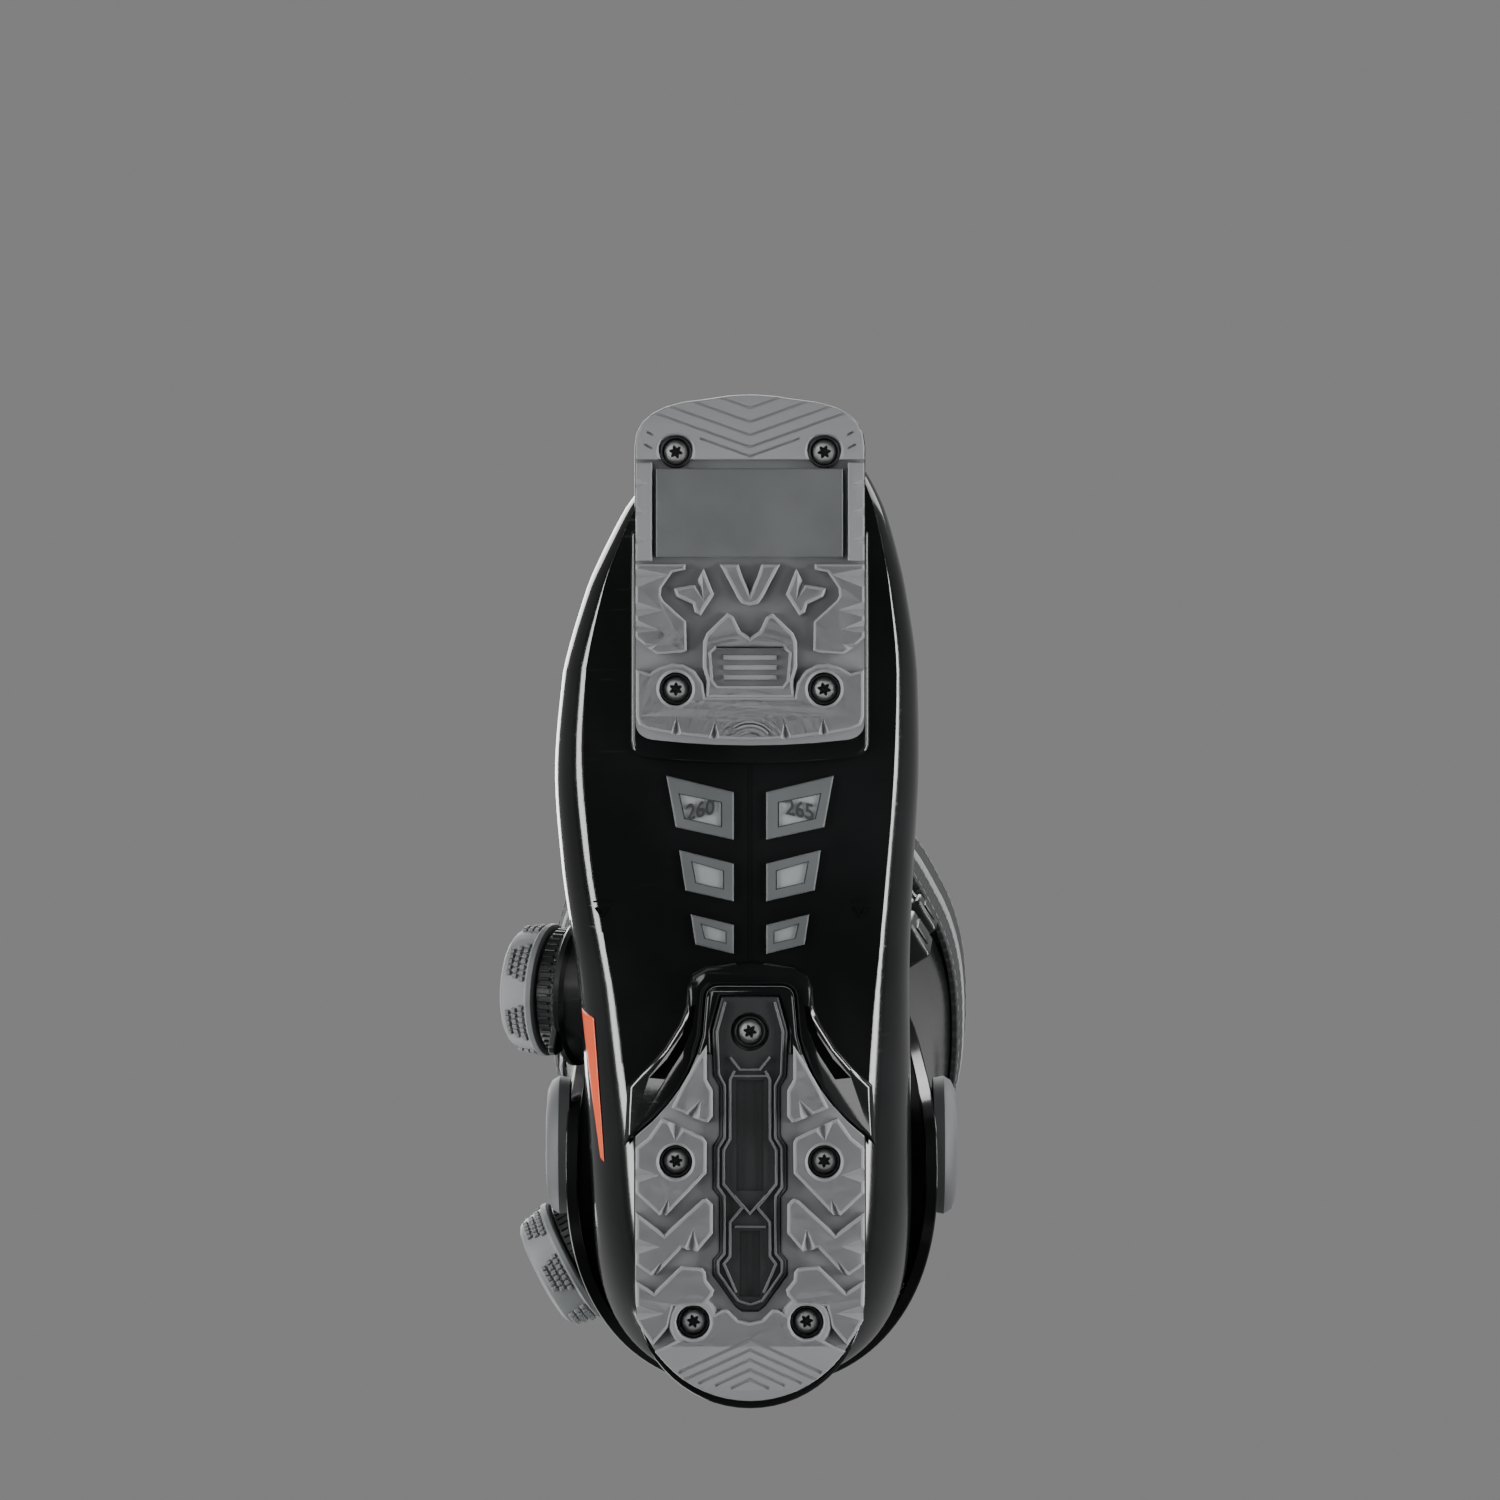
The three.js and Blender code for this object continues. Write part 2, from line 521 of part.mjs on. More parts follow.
function lowerShell() {
  const toeLug = slab(toeOutline(0.4, TOE_PLATE_END + 3), TOE_PLATE_TOP + SEAT_GAP, TOE_LEDGE);
  const toeApron = slab(toeOutline(0.4, TOE_PLATE_END + 3), TOE_PLATE_TOP + SEAT_GAP, SHELL_FLOOR + 4);
  const heelBlock = slab(heelOutline(0.6), SHELL_FLOOR, HEEL_LEDGE);
  const behind = sideSlab([[-200, -5], [TOE_Y + 60, -5], [TOE_Y + 60, 60], [-200, 60]]);
  const bridgeOutline = fromHeel([...BRIDGE_HALF, ...mirrored(BRIDGE_HALF)]);
  const bridge = both([BRIDGE_SLOT]).reduce(
    (left, slot) => left.subtract(slab(fromHeel(slot), BRIDGE_BOTTOM - 2, SHELL_FLOOR - 1.5)),
    slab(bridgeOutline, BRIDGE_BOTTOM, SHELL_FLOOR + 1).subtract(slab(heelOutline(0.8), 0, SHELL_FLOOR)),
  );
  const boss = (side) => pivotDisc(12, 40, PIVOT_FACE[side > 0 ? "medial" : "lateral"].shell, side);
  let shell = shellOuter.subtract(floorCut);
  shell = shell.add(toeLug.intersect(behind)).add(toeApron).add(heelBlock).add(bridge);
  shell = shell.add(instepFlap(0)).add(boss(1)).add(boss(-1));
  shell = shell.subtract(shellCavity.intersect(aboveCavityFloor));
  for (const side of [1, -1]) shell = shell.subtract(pivotDisc(PIVOT_BOLT_R + SEAT_GAP, 20, 80, side));
  for (const row of both(WINDOW_ROWS)) shell = shell.subtract(slab(row, SHELL_FLOOR - 1, cavityFloor + 1));
  for (const [x, y] of [...TOE_SCREWS, ...HEEL_SCREWS]) shell = circle(shell, x, y, SCREW_R + SEAT_GAP);
  return shell;
}

// A soft plate on the shell's inner floor, with six pads that fill the windows.
function archInlay() {
  const low = cavityFloor + SEAT_GAP;
  const plate = slab([[-29, -42], [29, -42], [20, 19], [-20, 19]], low, low + INLAY_PLATE);
  const pads = both(WINDOW_ROWS).map((row) => slab(grown(row, -SEAT_GAP), SHELL_FLOOR, low + 0.5));
  return pads.reduce((sum, pad) => sum.add(pad), plate);
}

const FOOTBOARD_FRONT = 24;
const FOOTBOARD_HEEL = 35;
const footbedLine = (lift) => [
  [-200, FOOTBOARD_FRONT + lift], [-60, FOOTBOARD_FRONT + lift], [95, FOOTBOARD_HEEL + lift],
  [200, FOOTBOARD_HEEL + lift],
];

function footboard() {
  const low = cavityFloor + INLAY_PLATE + 2 * SEAT_GAP;
  const wedge = sideSlab([[200, low], ...footbedLine(0).reverse(), [-200, low]]);
  const screwTips = [...TOE_SCREWS, ...HEEL_SCREWS];
  const board = footForm(SHELL_WALL + RUNNING_GAP, INSIDE_RINGS, INSIDE_SIDES).intersect(wedge);
  return screwTips.reduce((left, [x, y]) => circle(left, x, y, SCREW_R + 1), board);
}

function linerBoot() {
  const outside = SHELL_WALL + RUNNING_GAP;
  const above = sideSlab([...footbedLine(SEAT_GAP), [200, 260], [-200, 260]]);
  const hollow = sideSlab([...footbedLine(SEAT_GAP + LINER_WALL), [200, 280], [-200, 280]]);
  const collar = sideSlab([[-200, 232], [200, 105], [200, -20], [-200, -20]]);
  const cavity = footForm(outside + LINER_WALL, INSIDE_RINGS, INSIDE_SIDES, 30).intersect(hollow);
  const outer = footForm(outside, INSIDE_RINGS, INSIDE_SIDES).intersect(above).intersect(collar);
  const nutRoom = (side) => pivotDisc(NUT_R + RUNNING_GAP, nutInside(side) - RUNNING_GAP, 70, side);
  return outer.subtract(cavity).subtract(nutRoom(1)).subtract(nutRoom(-1));
}

// ---- cuff
const FLAP_GAP = 0.6;
const BOSS_GAP = 1.6; // between the shell's pivot boss and the cuff's curved inside
const LATERAL_EDGE = -20; // free edge of the outer flap, past the front centre line
const MEDIAL_EDGE = 380; // free edge of the inner flap, under the outer one
const PIVOT_FACE = {
  lateral: { shell: legSide(90) - CUFF_WALL - BOSS_GAP, cuff: legSide(90) },
  medial: { shell: legSide(270) - CUFF_WALL - BOSS_GAP, cuff: legSide(270) },
};

// The leg form's reach at the pivot's height, on one side.
function legSide(angle) {
  return Math.abs(legPoint(PIVOT_Z, angle).x);
}

// How far the cuff's wall has moved inwards at an angle, to pass under its other flap.
const layer = (angle) => (CUFF_WALL + FLAP_GAP) * smooth((angle - 275) / 50);

// side outline, [y, z], from the front's lower edge round the ear to the back and the top
const CUFF_SIDE = [
  [-60, 166], [-12, 160], [12, 153], [34, 139], [50, 120], [57, 98], [60, 76], [70, 62], [86, 60], [98, 68],
  [112, 84], [132, 94], [180, 98], [180, CUFF_TOP + 2], [110, CUFF_TOP], [60, CUFF_TOP - 6],
  [20, CUFF_TOP - 24], [-60, CUFF_TOP - 30],
];

function cuff() {
  const wall = legWall([0, 8], [LATERAL_EDGE, MEDIAL_EDGE], layer, CUFF_WALL);
  let shape = wall.intersect(sideSlab(CUFF_SIDE));
  for (const side of [1, -1]) shape = shape.subtract(pivotDisc(PIVOT_BOLT_R + SEAT_GAP, 20, 90, side));
  return rivetHoles(shape);
}

const SPOILER_STEP = 2.6;
const spoilerRoom = (angle) => (SPOILER_STEP + SEAT_GAP) * smooth((55 - Math.abs(angle - 180)) / 12);

function rearSpoiler() {
  const wall = legWall([5, 9], [140, 220], () => CUFF_WALL + SEAT_GAP, SPOILER_STEP);
  const outline = sideSlab(
    [[60, 236], [180, 222], [180, CUFF_TOP + 20], [84, CUFF_TOP + 16], [70, CUFF_TOP - 8]],
  );
  return rivetHoles(wall.intersect(outline));
}

const LINER_TOP = 326;
const linerInset = (angle) => layer(angle) + CUFF_WALL + SEAT_GAP + spoilerRoom(angle) + RUNNING_GAP;

function linerShaft() {
  const wall = legWall([2, 9], [50, 310], linerInset, LINER_WALL);
  const outline = sideSlab([
    [-60, 205], [25, 186], [66, 164], [110, 150], [180, 146],
    [180, LINER_TOP - 2], [60, LINER_TOP - 8], [-60, LINER_TOP - 26],
  ]);
  const head = RIVET_HEAD_R + RUNNING_GAP;
  const shaft = wall.intersect(outline);
  return RIVET_ANGLES.reduce((left, angle) => left.subtract(rivetBlank(angle, head, -16, 2)), shaft);
}

function linerTongue() {
  const inset = () => 2 * CUFF_WALL + FLAP_GAP + RUNNING_GAP;
  const wall = legWall([3, 9], [-40, 40], inset, LINER_WALL + 3);
  const outline = [[-80, 208], [60, 176], [120, 200], [120, LINER_TOP + 12], [-80, LINER_TOP - 4]];
  return wall.intersect(sideSlab(outline));
}

const STRAP_LOW = CUFF_TOP - 46;
const STRAP_FROM = -30;
const STRAP_TO = 390;

// The strap's outer face above the cuff, a layer further out where its end passes over its start.
function strapLayer(angle) {
  const second = (STRAP_THICKNESS + FLAP_GAP) * smooth((angle - 300) / 24);
  return -(STRAP_THICKNESS + SEAT_GAP + second);
}

// The strap's middle line is lower at the front than at the back.
const strapLine = (angle) => STRAP_LOW + 15 - 9 * Math.cos(angle * DEGREE);
const STRAP_EDGE = strapLine(0) - STRAP_WIDTH / 2; // its lower edge at the front

function powerStrap() {
  const angles = steps(0, (STRAP_TO - STRAP_FROM) / LEG_COLUMN).map(
    (column) => STRAP_FROM + column * LEG_COLUMN,
  );
  const row = (lift, extra) => angles.map(
    (angle) => legPoint(strapLine(angle) + lift, angle, strapLayer(angle) + extra),
  );
  const face = (extra) => [-0.5, 0, 0.5].map((share) => row(share * STRAP_WIDTH, extra));
  return rivetHoles(wallBetween(face(0), face(STRAP_THICKNESS)));
}

// Rivets that hold the strap and the spoiler to the back of the cuff.
const RIVET_ANGLES = [158, 202];
const RIVET_Z = STRAP_LOW + 22;
const RIVET_R = 2;
const RIVET_HEAD_R = 5;

function rivetFrame(angle) {
  const point = legPoint(RIVET_Z, angle);
  const ahead = legPoint(RIVET_Z, angle + 2).sub(legPoint(RIVET_Z, angle - 2));
  const out = new THREE.Vector3(ahead.y, -ahead.x, 0).normalize();
  if (out.dot(point.clone().sub(new THREE.Vector3(0, 40, RIVET_Z))) < 0) out.negate();
  return placement(point, out);
}

function rivetBlank(angle, radius, low, high) {
  return solid(cylinder(radius, low, high, 18).applyMatrix4(rivetFrame(angle)));
}

function rivetHoles(shape) {
  const holes = RIVET_ANGLES.map((angle) => rivetBlank(angle, RIVET_R + SEAT_GAP, -12, 12));
  return holes.reduce((left, hole) => left.subtract(hole), shape);
}

function strapRivet(angle) {
  const outside = STRAP_THICKNESS + 2 * SEAT_GAP + 0.5;
  const inside = -(CUFF_WALL + SEAT_GAP + SPOILER_STEP + 0.5);
  const profile = [
    [0, inside], [RIVET_R, inside], [RIVET_R, outside], [RIVET_HEAD_R, outside],
    [RIVET_HEAD_R - 0.6, outside + 1.4], [0, outside + 2],
  ];
  return solid(lathe(profile, 18).applyMatrix4(rivetFrame(angle)));
}

// ---- pivot bolts and their nuts
const BOLT_HEAD_R = 9.5;
const NUT_R = 8;
const NUT_THICKNESS = 2.4;
const shellSide = (side) => footHalfWidth(side) - SHELL_WALL;
const nutInside = (side) => shellSide(side) - SEAT_GAP - NUT_THICKNESS;

// The foot form's half width at the pivot, on one side, a little low so that nothing is touched.
function footHalfWidth(side) {
  return side > 0 ? 48.6 : 47.6;
}

function pivotBolt(side) {
  const face = PIVOT_FACE[side > 0 ? "medial" : "lateral"].cuff + SEAT_GAP;
  const profile = [
    [0, nutInside(side) + 0.2], [PIVOT_BOLT_R, nutInside(side) + 0.2], [PIVOT_BOLT_R, face],
    [BOLT_HEAD_R, face], [BOLT_HEAD_R, face + 1.4], [BOLT_HEAD_R - 1.6, face + 2.8], [3.2, face + 2.8],
    [2.8, face + 1], [0, face + 1],
  ];
  return solid(lathe(profile, 14).rotateY(side * 90 * DEGREE).translate(0, PIVOT_Y, PIVOT_Z));
}

function pivotNut(side) {
  const inside = nutInside(side);
  const profile = [
    [PIVOT_BOLT_R + SEAT_GAP, inside], [NUT_R - 0.8, inside], [NUT_R, inside + 0.8],
    [NUT_R, inside + NUT_THICKNESS], [PIVOT_BOLT_R + SEAT_GAP, inside + NUT_THICKNESS],
    [PIVOT_BOLT_R + SEAT_GAP, inside],
  ];
  return solid(lathe(profile, 14).rotateY(side * 90 * DEGREE).translate(0, PIVOT_Y, PIVOT_Z));
}

// ---- lace dials, in their own frame: +Z is the axis they turn on, and 0 is the plastic they stand on
const KNOB_LOW = 9;
const SPOOL_R = 12.6;
const POST_R = 2.4;
const EXIT_HEIGHT = 4.9; // of the lace as it leaves the housing
const HOUSING_R = 18.4;
const HOUSING_TOP = 8.2;

function dialBase(carrier, frame, laces) {
  const profile = [
    [0, -14], [DIAL_FLANGE_R - 3, -14], [DIAL_FLANGE_R - 1, 0], [DIAL_FLANGE_R, 0.6],
    [DIAL_FLANGE_R, 2], [HOUSING_R + 1, 3], [HOUSING_R, HOUSING_TOP],
    [SPOOL_R + RUNNING_GAP, HOUSING_TOP], [SPOOL_R + RUNNING_GAP, 2], [POST_R, 2], [POST_R, 11], [0, 11],
  ];
  const body = solid(lathe(profile, 20).applyMatrix4(frame)).subtract(carrier);
  return laces.reduce((left, lace) => left.subtract(lace), body);
}

function spool(frame) {
  const bore = POST_R + RUNNING_GAP / 2;
  const profile = [
    [bore, 2.6], [SPOOL_R, 2.6], [SPOOL_R, 3.3], [8, 3.5], [8, 6.5], [SPOOL_R, 6.7], [SPOOL_R, 7.6],
    [6, 7.6], [6, 10.6], [bore, 10.6], [bore, 2.6],
  ];
  return solid(lathe(profile, 14).applyMatrix4(frame));
}

const KNOB_TOP = KNOB_LOW + KNOB_HEIGHT;
const CAP_R = 9;

function knob(frame) {
  const profile = [
    [0, 11.6], [6.6, 11.6], [6.6, KNOB_LOW], [KNOB_R - 1, KNOB_LOW], [KNOB_R, KNOB_LOW + 0.8],
    [KNOB_R, KNOB_LOW + 3], [KNOB_R - 1.6, KNOB_TOP - 2.4], [KNOB_R - 4, KNOB_TOP],
    [CAP_R + SEAT_GAP, KNOB_TOP - 0.4], [CAP_R + SEAT_GAP, KNOB_TOP - 1.8], [0, KNOB_TOP - 1.8],
  ];
  const body = solid(lathe(profile, 20));
  const notches = Array.from({ length: 6 }, (_, i) => {
    const cut = new THREE.BoxGeometry(5, 3, 12).rotateX(0.35).translate(0, KNOB_R + 0.4, KNOB_LOW + 7);
    return solid(cut.rotateZ(60 * i * DEGREE));
  });
  return notches.reduce((left, notch) => left.subtract(notch), body).transform(frame.toArray());
}

function knobCap(frame) {
  const low = KNOB_TOP - 1.8 + SEAT_GAP;
  const profile = [[0, low], [CAP_R, low], [CAP_R, low + 1.2], [CAP_R - 0.8, low + 1.7], [0, low + 1.9]];
  return solid(lathe(profile, 16).applyMatrix4(frame));
}

// A point in a dial's own frame, at an angle round its axis, in the boot's frame.
function aroundDial(frame, radius, angle, height) {
  const [x, y] = [radius * Math.cos(angle * DEGREE), radius * Math.sin(angle * DEGREE)];
  return new THREE.Vector3(x, y, height).applyMatrix4(frame);
}

const INSTEP_DIAL = placement(new THREE.Vector3(-52.6, 30, 84), new THREE.Vector3(-0.949, -0.05, 0.31));
const CUFF_DIAL_Z = 172;
const CUFF_DIAL_POINT = legPoint(CUFF_DIAL_Z, 129);
const CUFF_DIAL = placement(
  CUFF_DIAL_POINT.clone().add(new THREE.Vector3(-1.1, 0.7, 0)), new THREE.Vector3(-0.88, 0.47, 0.06),
);

// ---- laces and their guides
const GUIDE_CORNER_R = 2.5;
const GUIDE_ROOT = 9; // of a guide below the form, before the plastic that it stands on is taken off it

// A guide is a low block on the plastic with a channel for the lace at its turn.
function guide(point, out, along, size, carrier, lace) {
  const side = out.clone().cross(along).normalize();
  const turn = new THREE.Matrix4().makeBasis(along.clone().normalize(), side, out.clone().normalize());
  turn.setPosition(point);
  const [length, width, height] = size;
  const plan = new THREE.Shape();
  const [a, b] = [length / 2, width / 2];
  const r = Math.min(GUIDE_CORNER_R, 0.8 * a, 0.8 * b);
  plan.moveTo(-a + r, -b).lineTo(a - r, -b).quadraticCurveTo(a, -b, a, -b + r);
  plan.lineTo(a, b - r).quadraticCurveTo(a, b, a - r, b);
  plan.lineTo(-a + r, b).quadraticCurveTo(-a, b, -a, b - r);
  plan.lineTo(-a, -b + r).quadraticCurveTo(-a, -b, -a + r, -b);
  const options = { depth: height + GUIDE_ROOT, bevelEnabled: false, curveSegments: 3 };
  const block = new THREE.ExtrudeGeometry(plan, options).translate(0, 0, -GUIDE_ROOT);
  return solid(block.applyMatrix4(turn)).subtract(carrier).subtract(lace);
}

// A point above the lower shell, and above its flap where there is one.
function overFoot(along, angle, lift = LACE_STANDOFF) {
  const onFlap = angle > 53 && angle < 154;
  return footPoint(along, angle, -lift - (onFlap ? FLAP_STEP : 0));
}

// The cuff's lace and guides lie between the dial's height and the power strap, closer if that band is.
const LACE_BAND = 74; // height of the band that the route's rises are written for
const laceHeight = (rise) => CUFF_DIAL_Z + (rise * (STRAP_EDGE - CUFF_DIAL_Z)) / LACE_BAND;
const overLeg = (rise, angle) => legPoint(laceHeight(rise), angle, -LACE_STANDOFF);

// The instep lace leaves the dial's front, crosses to two medial guides with a turn at a lateral guide
// between them, and comes back to the dial's top.
const INSTEP_LACE = [
  aroundDial(INSTEP_DIAL, HOUSING_R + SEAT_GAP, 284, EXIT_HEIGHT),
  aroundDial(INSTEP_DIAL, DIAL_FLANGE_R + 3, 286, 4),
  overFoot(0.44, 158), overFoot(0.40, 140), overFoot(0.37, 118), overFoot(0.345, 96),
  overFoot(0.33, 76), overFoot(0.325, 56), overFoot(0.33, 45), overFoot(0.345, 41), overFoot(0.36, 45),
  overFoot(0.37, 58), overFoot(0.385, 78), overFoot(0.405, 98), overFoot(0.425, 116), overFoot(0.44, 125),
  overFoot(0.455, 127), overFoot(0.467, 122), overFoot(0.47, 110), overFoot(0.468, 92),
  overFoot(0.467, 74), overFoot(0.47, 58), overFoot(0.475, 48), overFoot(0.49, 44), overFoot(0.505, 48),
  overFoot(0.515, 60), overFoot(0.53, 80), overFoot(0.545, 100), overFoot(0.552, 118), overFoot(0.556, 134),
  aroundDial(INSTEP_DIAL, DIAL_FLANGE_R + 3, 334, 5),
  aroundDial(INSTEP_DIAL, HOUSING_R + SEAT_GAP, 336, EXIT_HEIGHT),
];

const CUFF_LACE = [
  aroundDial(CUFF_DIAL, HOUSING_R + SEAT_GAP, 304, EXIT_HEIGHT),
  aroundDial(CUFF_DIAL, DIAL_FLANGE_R + 3, 304, 4),
  overLeg(17, 96), overLeg(20, 76), overLeg(22, 52), overLeg(23, 28), overLeg(24, 4),
  overLeg(25, -20), overLeg(26, -42), overLeg(29, -55), overLeg(34, -60), overLeg(39, -56),
  overLeg(43, -42), overLeg(46, -20), overLeg(49, 4), overLeg(52, 24), overLeg(55, 36),
  overLeg(59.5, 40), overLeg(64, 36), overLeg(66, 24), overLeg(66.5, 4),
  overLeg(66, -20), overLeg(65, -42), overLeg(64, -54),
];

const LACE_STEPS = 54;

// The channel that a lace lies in: its own route, wider by the gap, and carried on a little past each end.
function channel(points) {
  const radius = LACE_R + SEAT_GAP;
  const stub = (end, before) => {
    const onward = placement(end, end.clone().sub(before));
    return solid(cylinder(radius, -SEAT_GAP, 2 * SEAT_GAP, 8).applyMatrix4(onward));
  };
  const ends = stub(points[0], points[1]).add(stub(points.at(-1), points.at(-2)));
  return tube(points, radius, LACE_STEPS).add(ends);
}

const instepLace = tube(INSTEP_LACE, LACE_R, LACE_STEPS);
const instepChannel = channel(INSTEP_LACE);
const cuffLace = tube(CUFF_LACE, LACE_R, LACE_STEPS);
const cuffChannel = channel(CUFF_LACE);

function footGuide(along, angle, size) {
  const point = overFoot(along, angle, 0);
  const out = overFoot(along, angle, 6).sub(point).normalize();
  const ahead = footPoint(along + 0.01, angle).sub(footPoint(along - 0.01, angle));
  ahead.addScaledVector(out, -ahead.dot(out));
  return { point, out, ahead, size };
}

function legGuide(rise, angle, size) {
  const z = laceHeight(rise);
  const point = legPoint(z, angle);
  const across = legPoint(z, angle + 2).sub(legPoint(z, angle - 2));
  const ahead = legPoint(z + 4, angle).sub(legPoint(z - 4, angle));
  const out = across.clone().cross(ahead).normalize();
  if (out.dot(point.clone().sub(new THREE.Vector3(0, 60, z))) < 0) out.negate();
  return { point, out, ahead, size };
}

// ---- the boot
const MATERIALS = {
  shell: { color: 0x101112, roughness: 0.16, metalness: 0 },
  cuff: { color: 0x111213, roughness: 0.2, metalness: 0 },
  sole: { color: 0x55585a, roughness: 0.72, metalness: 0 },
  insert: { color: 0x1b1c1d, roughness: 0.6, metalness: 0 },
  inlay: { color: 0x6a6e70, roughness: 0.5, metalness: 0 },
  steel: { color: 0xb9bcbe, roughness: 0.25, metalness: 1 },
  liner: { color: 0x26282a, roughness: 0.95, metalness: 0 },
  strap: { color: 0x3a3c3e, roughness: 0.9, metalness: 0 },
  knob: { color: 0x7d8184, roughness: 0.65, metalness: 0 },
  housing: { color: 0x18191a, roughness: 0.35, metalness: 0 },
  footboard: { color: 0x2a2b2c, roughness: 0.8, metalness: 0 },
};

const boot = new THREE.Group();

function add(name, shape, material) {
  const mesh = new THREE.Mesh(geometryOf(shape), new THREE.MeshStandardMaterial(MATERIALS[material]));
  mesh.name = name;
  boot.add(mesh);
}

const shellFace = footForm(-SEAT_GAP);
const instepCarrier = shellFace.add(instepFlap(SEAT_GAP));
const legFace = legForm(-SEAT_GAP);

add("lower_shell", lowerShell(), "shell");
add("toe_sole", toeSole(), "sole");
add("heel_sole", heelSole(), "sole");
add("heel_insert", heelInsert(), "insert");
add("arch_inlay", archInlay(), "inlay");
add("footboard", footboard(), "footboard");
TOE_SCREWS.forEach(([x, y], i) => {
  add(`toe_screw_${i + 1}`, soleScrew(TOE_SCREW_SEAT, TOE_SCREW_LENGTH).translate([x, y, 0]), "steel");
});
HEEL_SCREWS.forEach(([x, y], i) => {
  add(`heel_screw_${i + 1}`, soleScrew(HEEL_SCREW_SEAT, HEEL_SCREW_LENGTH).translate([x, y, 0]), "steel");
});
add("liner_boot", linerBoot(), "liner");

for (const [name, side] of [["lateral", -1], ["medial", 1]]) {
  add(`pivot_bolt_${name}`, pivotBolt(side), "steel");
  add(`pivot_nut_${name}`, pivotNut(side), "steel");
}

add("cuff", cuff(), "cuff");
add("rear_spoiler", rearSpoiler(), "housing");
add("liner_shaft", linerShaft(), "liner");
add("liner_tongue", linerTongue(), "liner");
add("power_strap", powerStrap(), "strap");
RIVET_ANGLES.forEach((angle, i) => add(`strap_rivet_${i + 1}`, strapRivet(angle), "steel"));

for (const [name, frame, carrier, route, lace] of [
  ["instep", INSTEP_DIAL, instepCarrier, instepChannel, instepLace],
  ["cuff", CUFF_DIAL, legFace, cuffChannel, cuffLace],
]) {
  add(`${name}_dial_base`, dialBase(carrier, frame, [route]), "housing");
  add(`${name}_spool`, spool(frame), "housing");
  add(`${name}_knob`, knob(frame), "knob");
  add(`${name}_knob_cap`, knobCap(frame), "housing");
  add(`${name}_lace`, lace, "steel");
}

const GUIDE = [15, 13, 4.6]; // length along the boot, width and height
const INSTEP_GUIDES = {
  medial_front: footGuide(0.345, 45, GUIDE),
  medial_rear: footGuide(0.49, 48, GUIDE),
  lateral: footGuide(0.452, 123, GUIDE),
};
for (const [name, g] of Object.entries(INSTEP_GUIDES)) {
  const shape = guide(g.point, g.out, g.ahead, g.size, instepCarrier, instepChannel);
  add(`instep_guide_${name}`, shape, "housing");
}
const guideLength = (length) => laceHeight(length) - laceHeight(0);
const CUFF_GUIDES = {
  medial: legGuide(34, -55, [guideLength(20), 13, 4.6]),
  lateral: legGuide(59.5, 36, [guideLength(18), 13, 4.6]),
  anchor: legGuide(64, -56, [guideLength(11), 12, 4.6]),
};
for (const [name, g] of Object.entries(CUFF_GUIDES)) {
  add(`cuff_guide_${name}`, guide(g.point, g.out, g.ahead, g.size, legFace, cuffChannel), "housing");
}

// The origin is under the middle of the whole boot, on the ground.
const box = new THREE.Box3().setFromObject(boot);
const middle = box.getCenter(new THREE.Vector3());
boot.position.set(-middle.x, -middle.y, -box.min.z);

export default boot;
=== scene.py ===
"""Looks for a right alpine ski boot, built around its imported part.

The boot stands on the ground with its toe towards -Y and its outer side towards -X. Every shape below is worked out
in millimetres about the middle of the sole, and is put in its place in the row frame when it is finished.
"""

import logging
import math
from collections.abc import Callable, Iterable, Sequence
from dataclasses import dataclass, field
from enum import Enum

import bmesh
import bpy
from mathutils import Matrix, Vector, noise


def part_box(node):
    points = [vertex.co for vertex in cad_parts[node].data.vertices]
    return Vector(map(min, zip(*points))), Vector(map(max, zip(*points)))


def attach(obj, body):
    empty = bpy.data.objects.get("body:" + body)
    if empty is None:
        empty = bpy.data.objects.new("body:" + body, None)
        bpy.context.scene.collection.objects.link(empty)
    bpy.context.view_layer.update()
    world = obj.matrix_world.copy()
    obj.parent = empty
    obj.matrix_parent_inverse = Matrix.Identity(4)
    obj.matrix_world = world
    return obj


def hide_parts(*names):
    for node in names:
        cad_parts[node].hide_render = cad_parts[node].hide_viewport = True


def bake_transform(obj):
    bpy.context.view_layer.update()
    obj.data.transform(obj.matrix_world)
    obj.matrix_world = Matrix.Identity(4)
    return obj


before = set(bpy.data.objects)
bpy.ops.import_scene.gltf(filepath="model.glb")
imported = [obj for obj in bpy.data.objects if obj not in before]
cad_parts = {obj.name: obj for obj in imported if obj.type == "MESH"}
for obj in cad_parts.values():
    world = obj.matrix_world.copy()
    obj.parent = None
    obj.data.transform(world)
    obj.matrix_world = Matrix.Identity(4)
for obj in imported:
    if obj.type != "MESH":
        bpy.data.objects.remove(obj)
log = logging.getLogger("boot")

Point2 = tuple[float, float]
Colour = tuple[float, float, float]
Mesh = bmesh.types.BMesh
Outline = list[Point2]
Place = Callable[[float, float], Vector]

TOE_END = -152.4
HEEL_END = 152.4
HALF_SOLE = 34.4
SHELL_FLOOR = 13.0
TOE_LEDGE = 19.0
HEEL_LEDGE = 30.0
CUFF_TOP = 306.0
PIVOT = Vector((0.0, 78.0, 88.0))

_toe_low, _toe_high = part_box("toe_sole")
SOLE_MIDDLE = Vector(((_toe_low.x + _toe_high.x) * 500, _toe_low.y * 1000 - TOE_END, 0.0))
TO_ROW = Matrix.Scale(0.001, 4) @ Matrix.Translation(SOLE_MIDDLE)


class Body(Enum):
    """The moving bodies of the part."""

    LOWER = "lower_boot"
    CUFF = "cuff_assembly"
    INSTEP_KNOB = "instep_knob_body"
    CUFF_KNOB = "cuff_knob_body"


class Side(Enum):
    """The two sides of the boot, with the sign of x."""

    LATERAL = -1
    MEDIAL = 1


# ---- shader maths ------------------------------------------------------------------------------------------


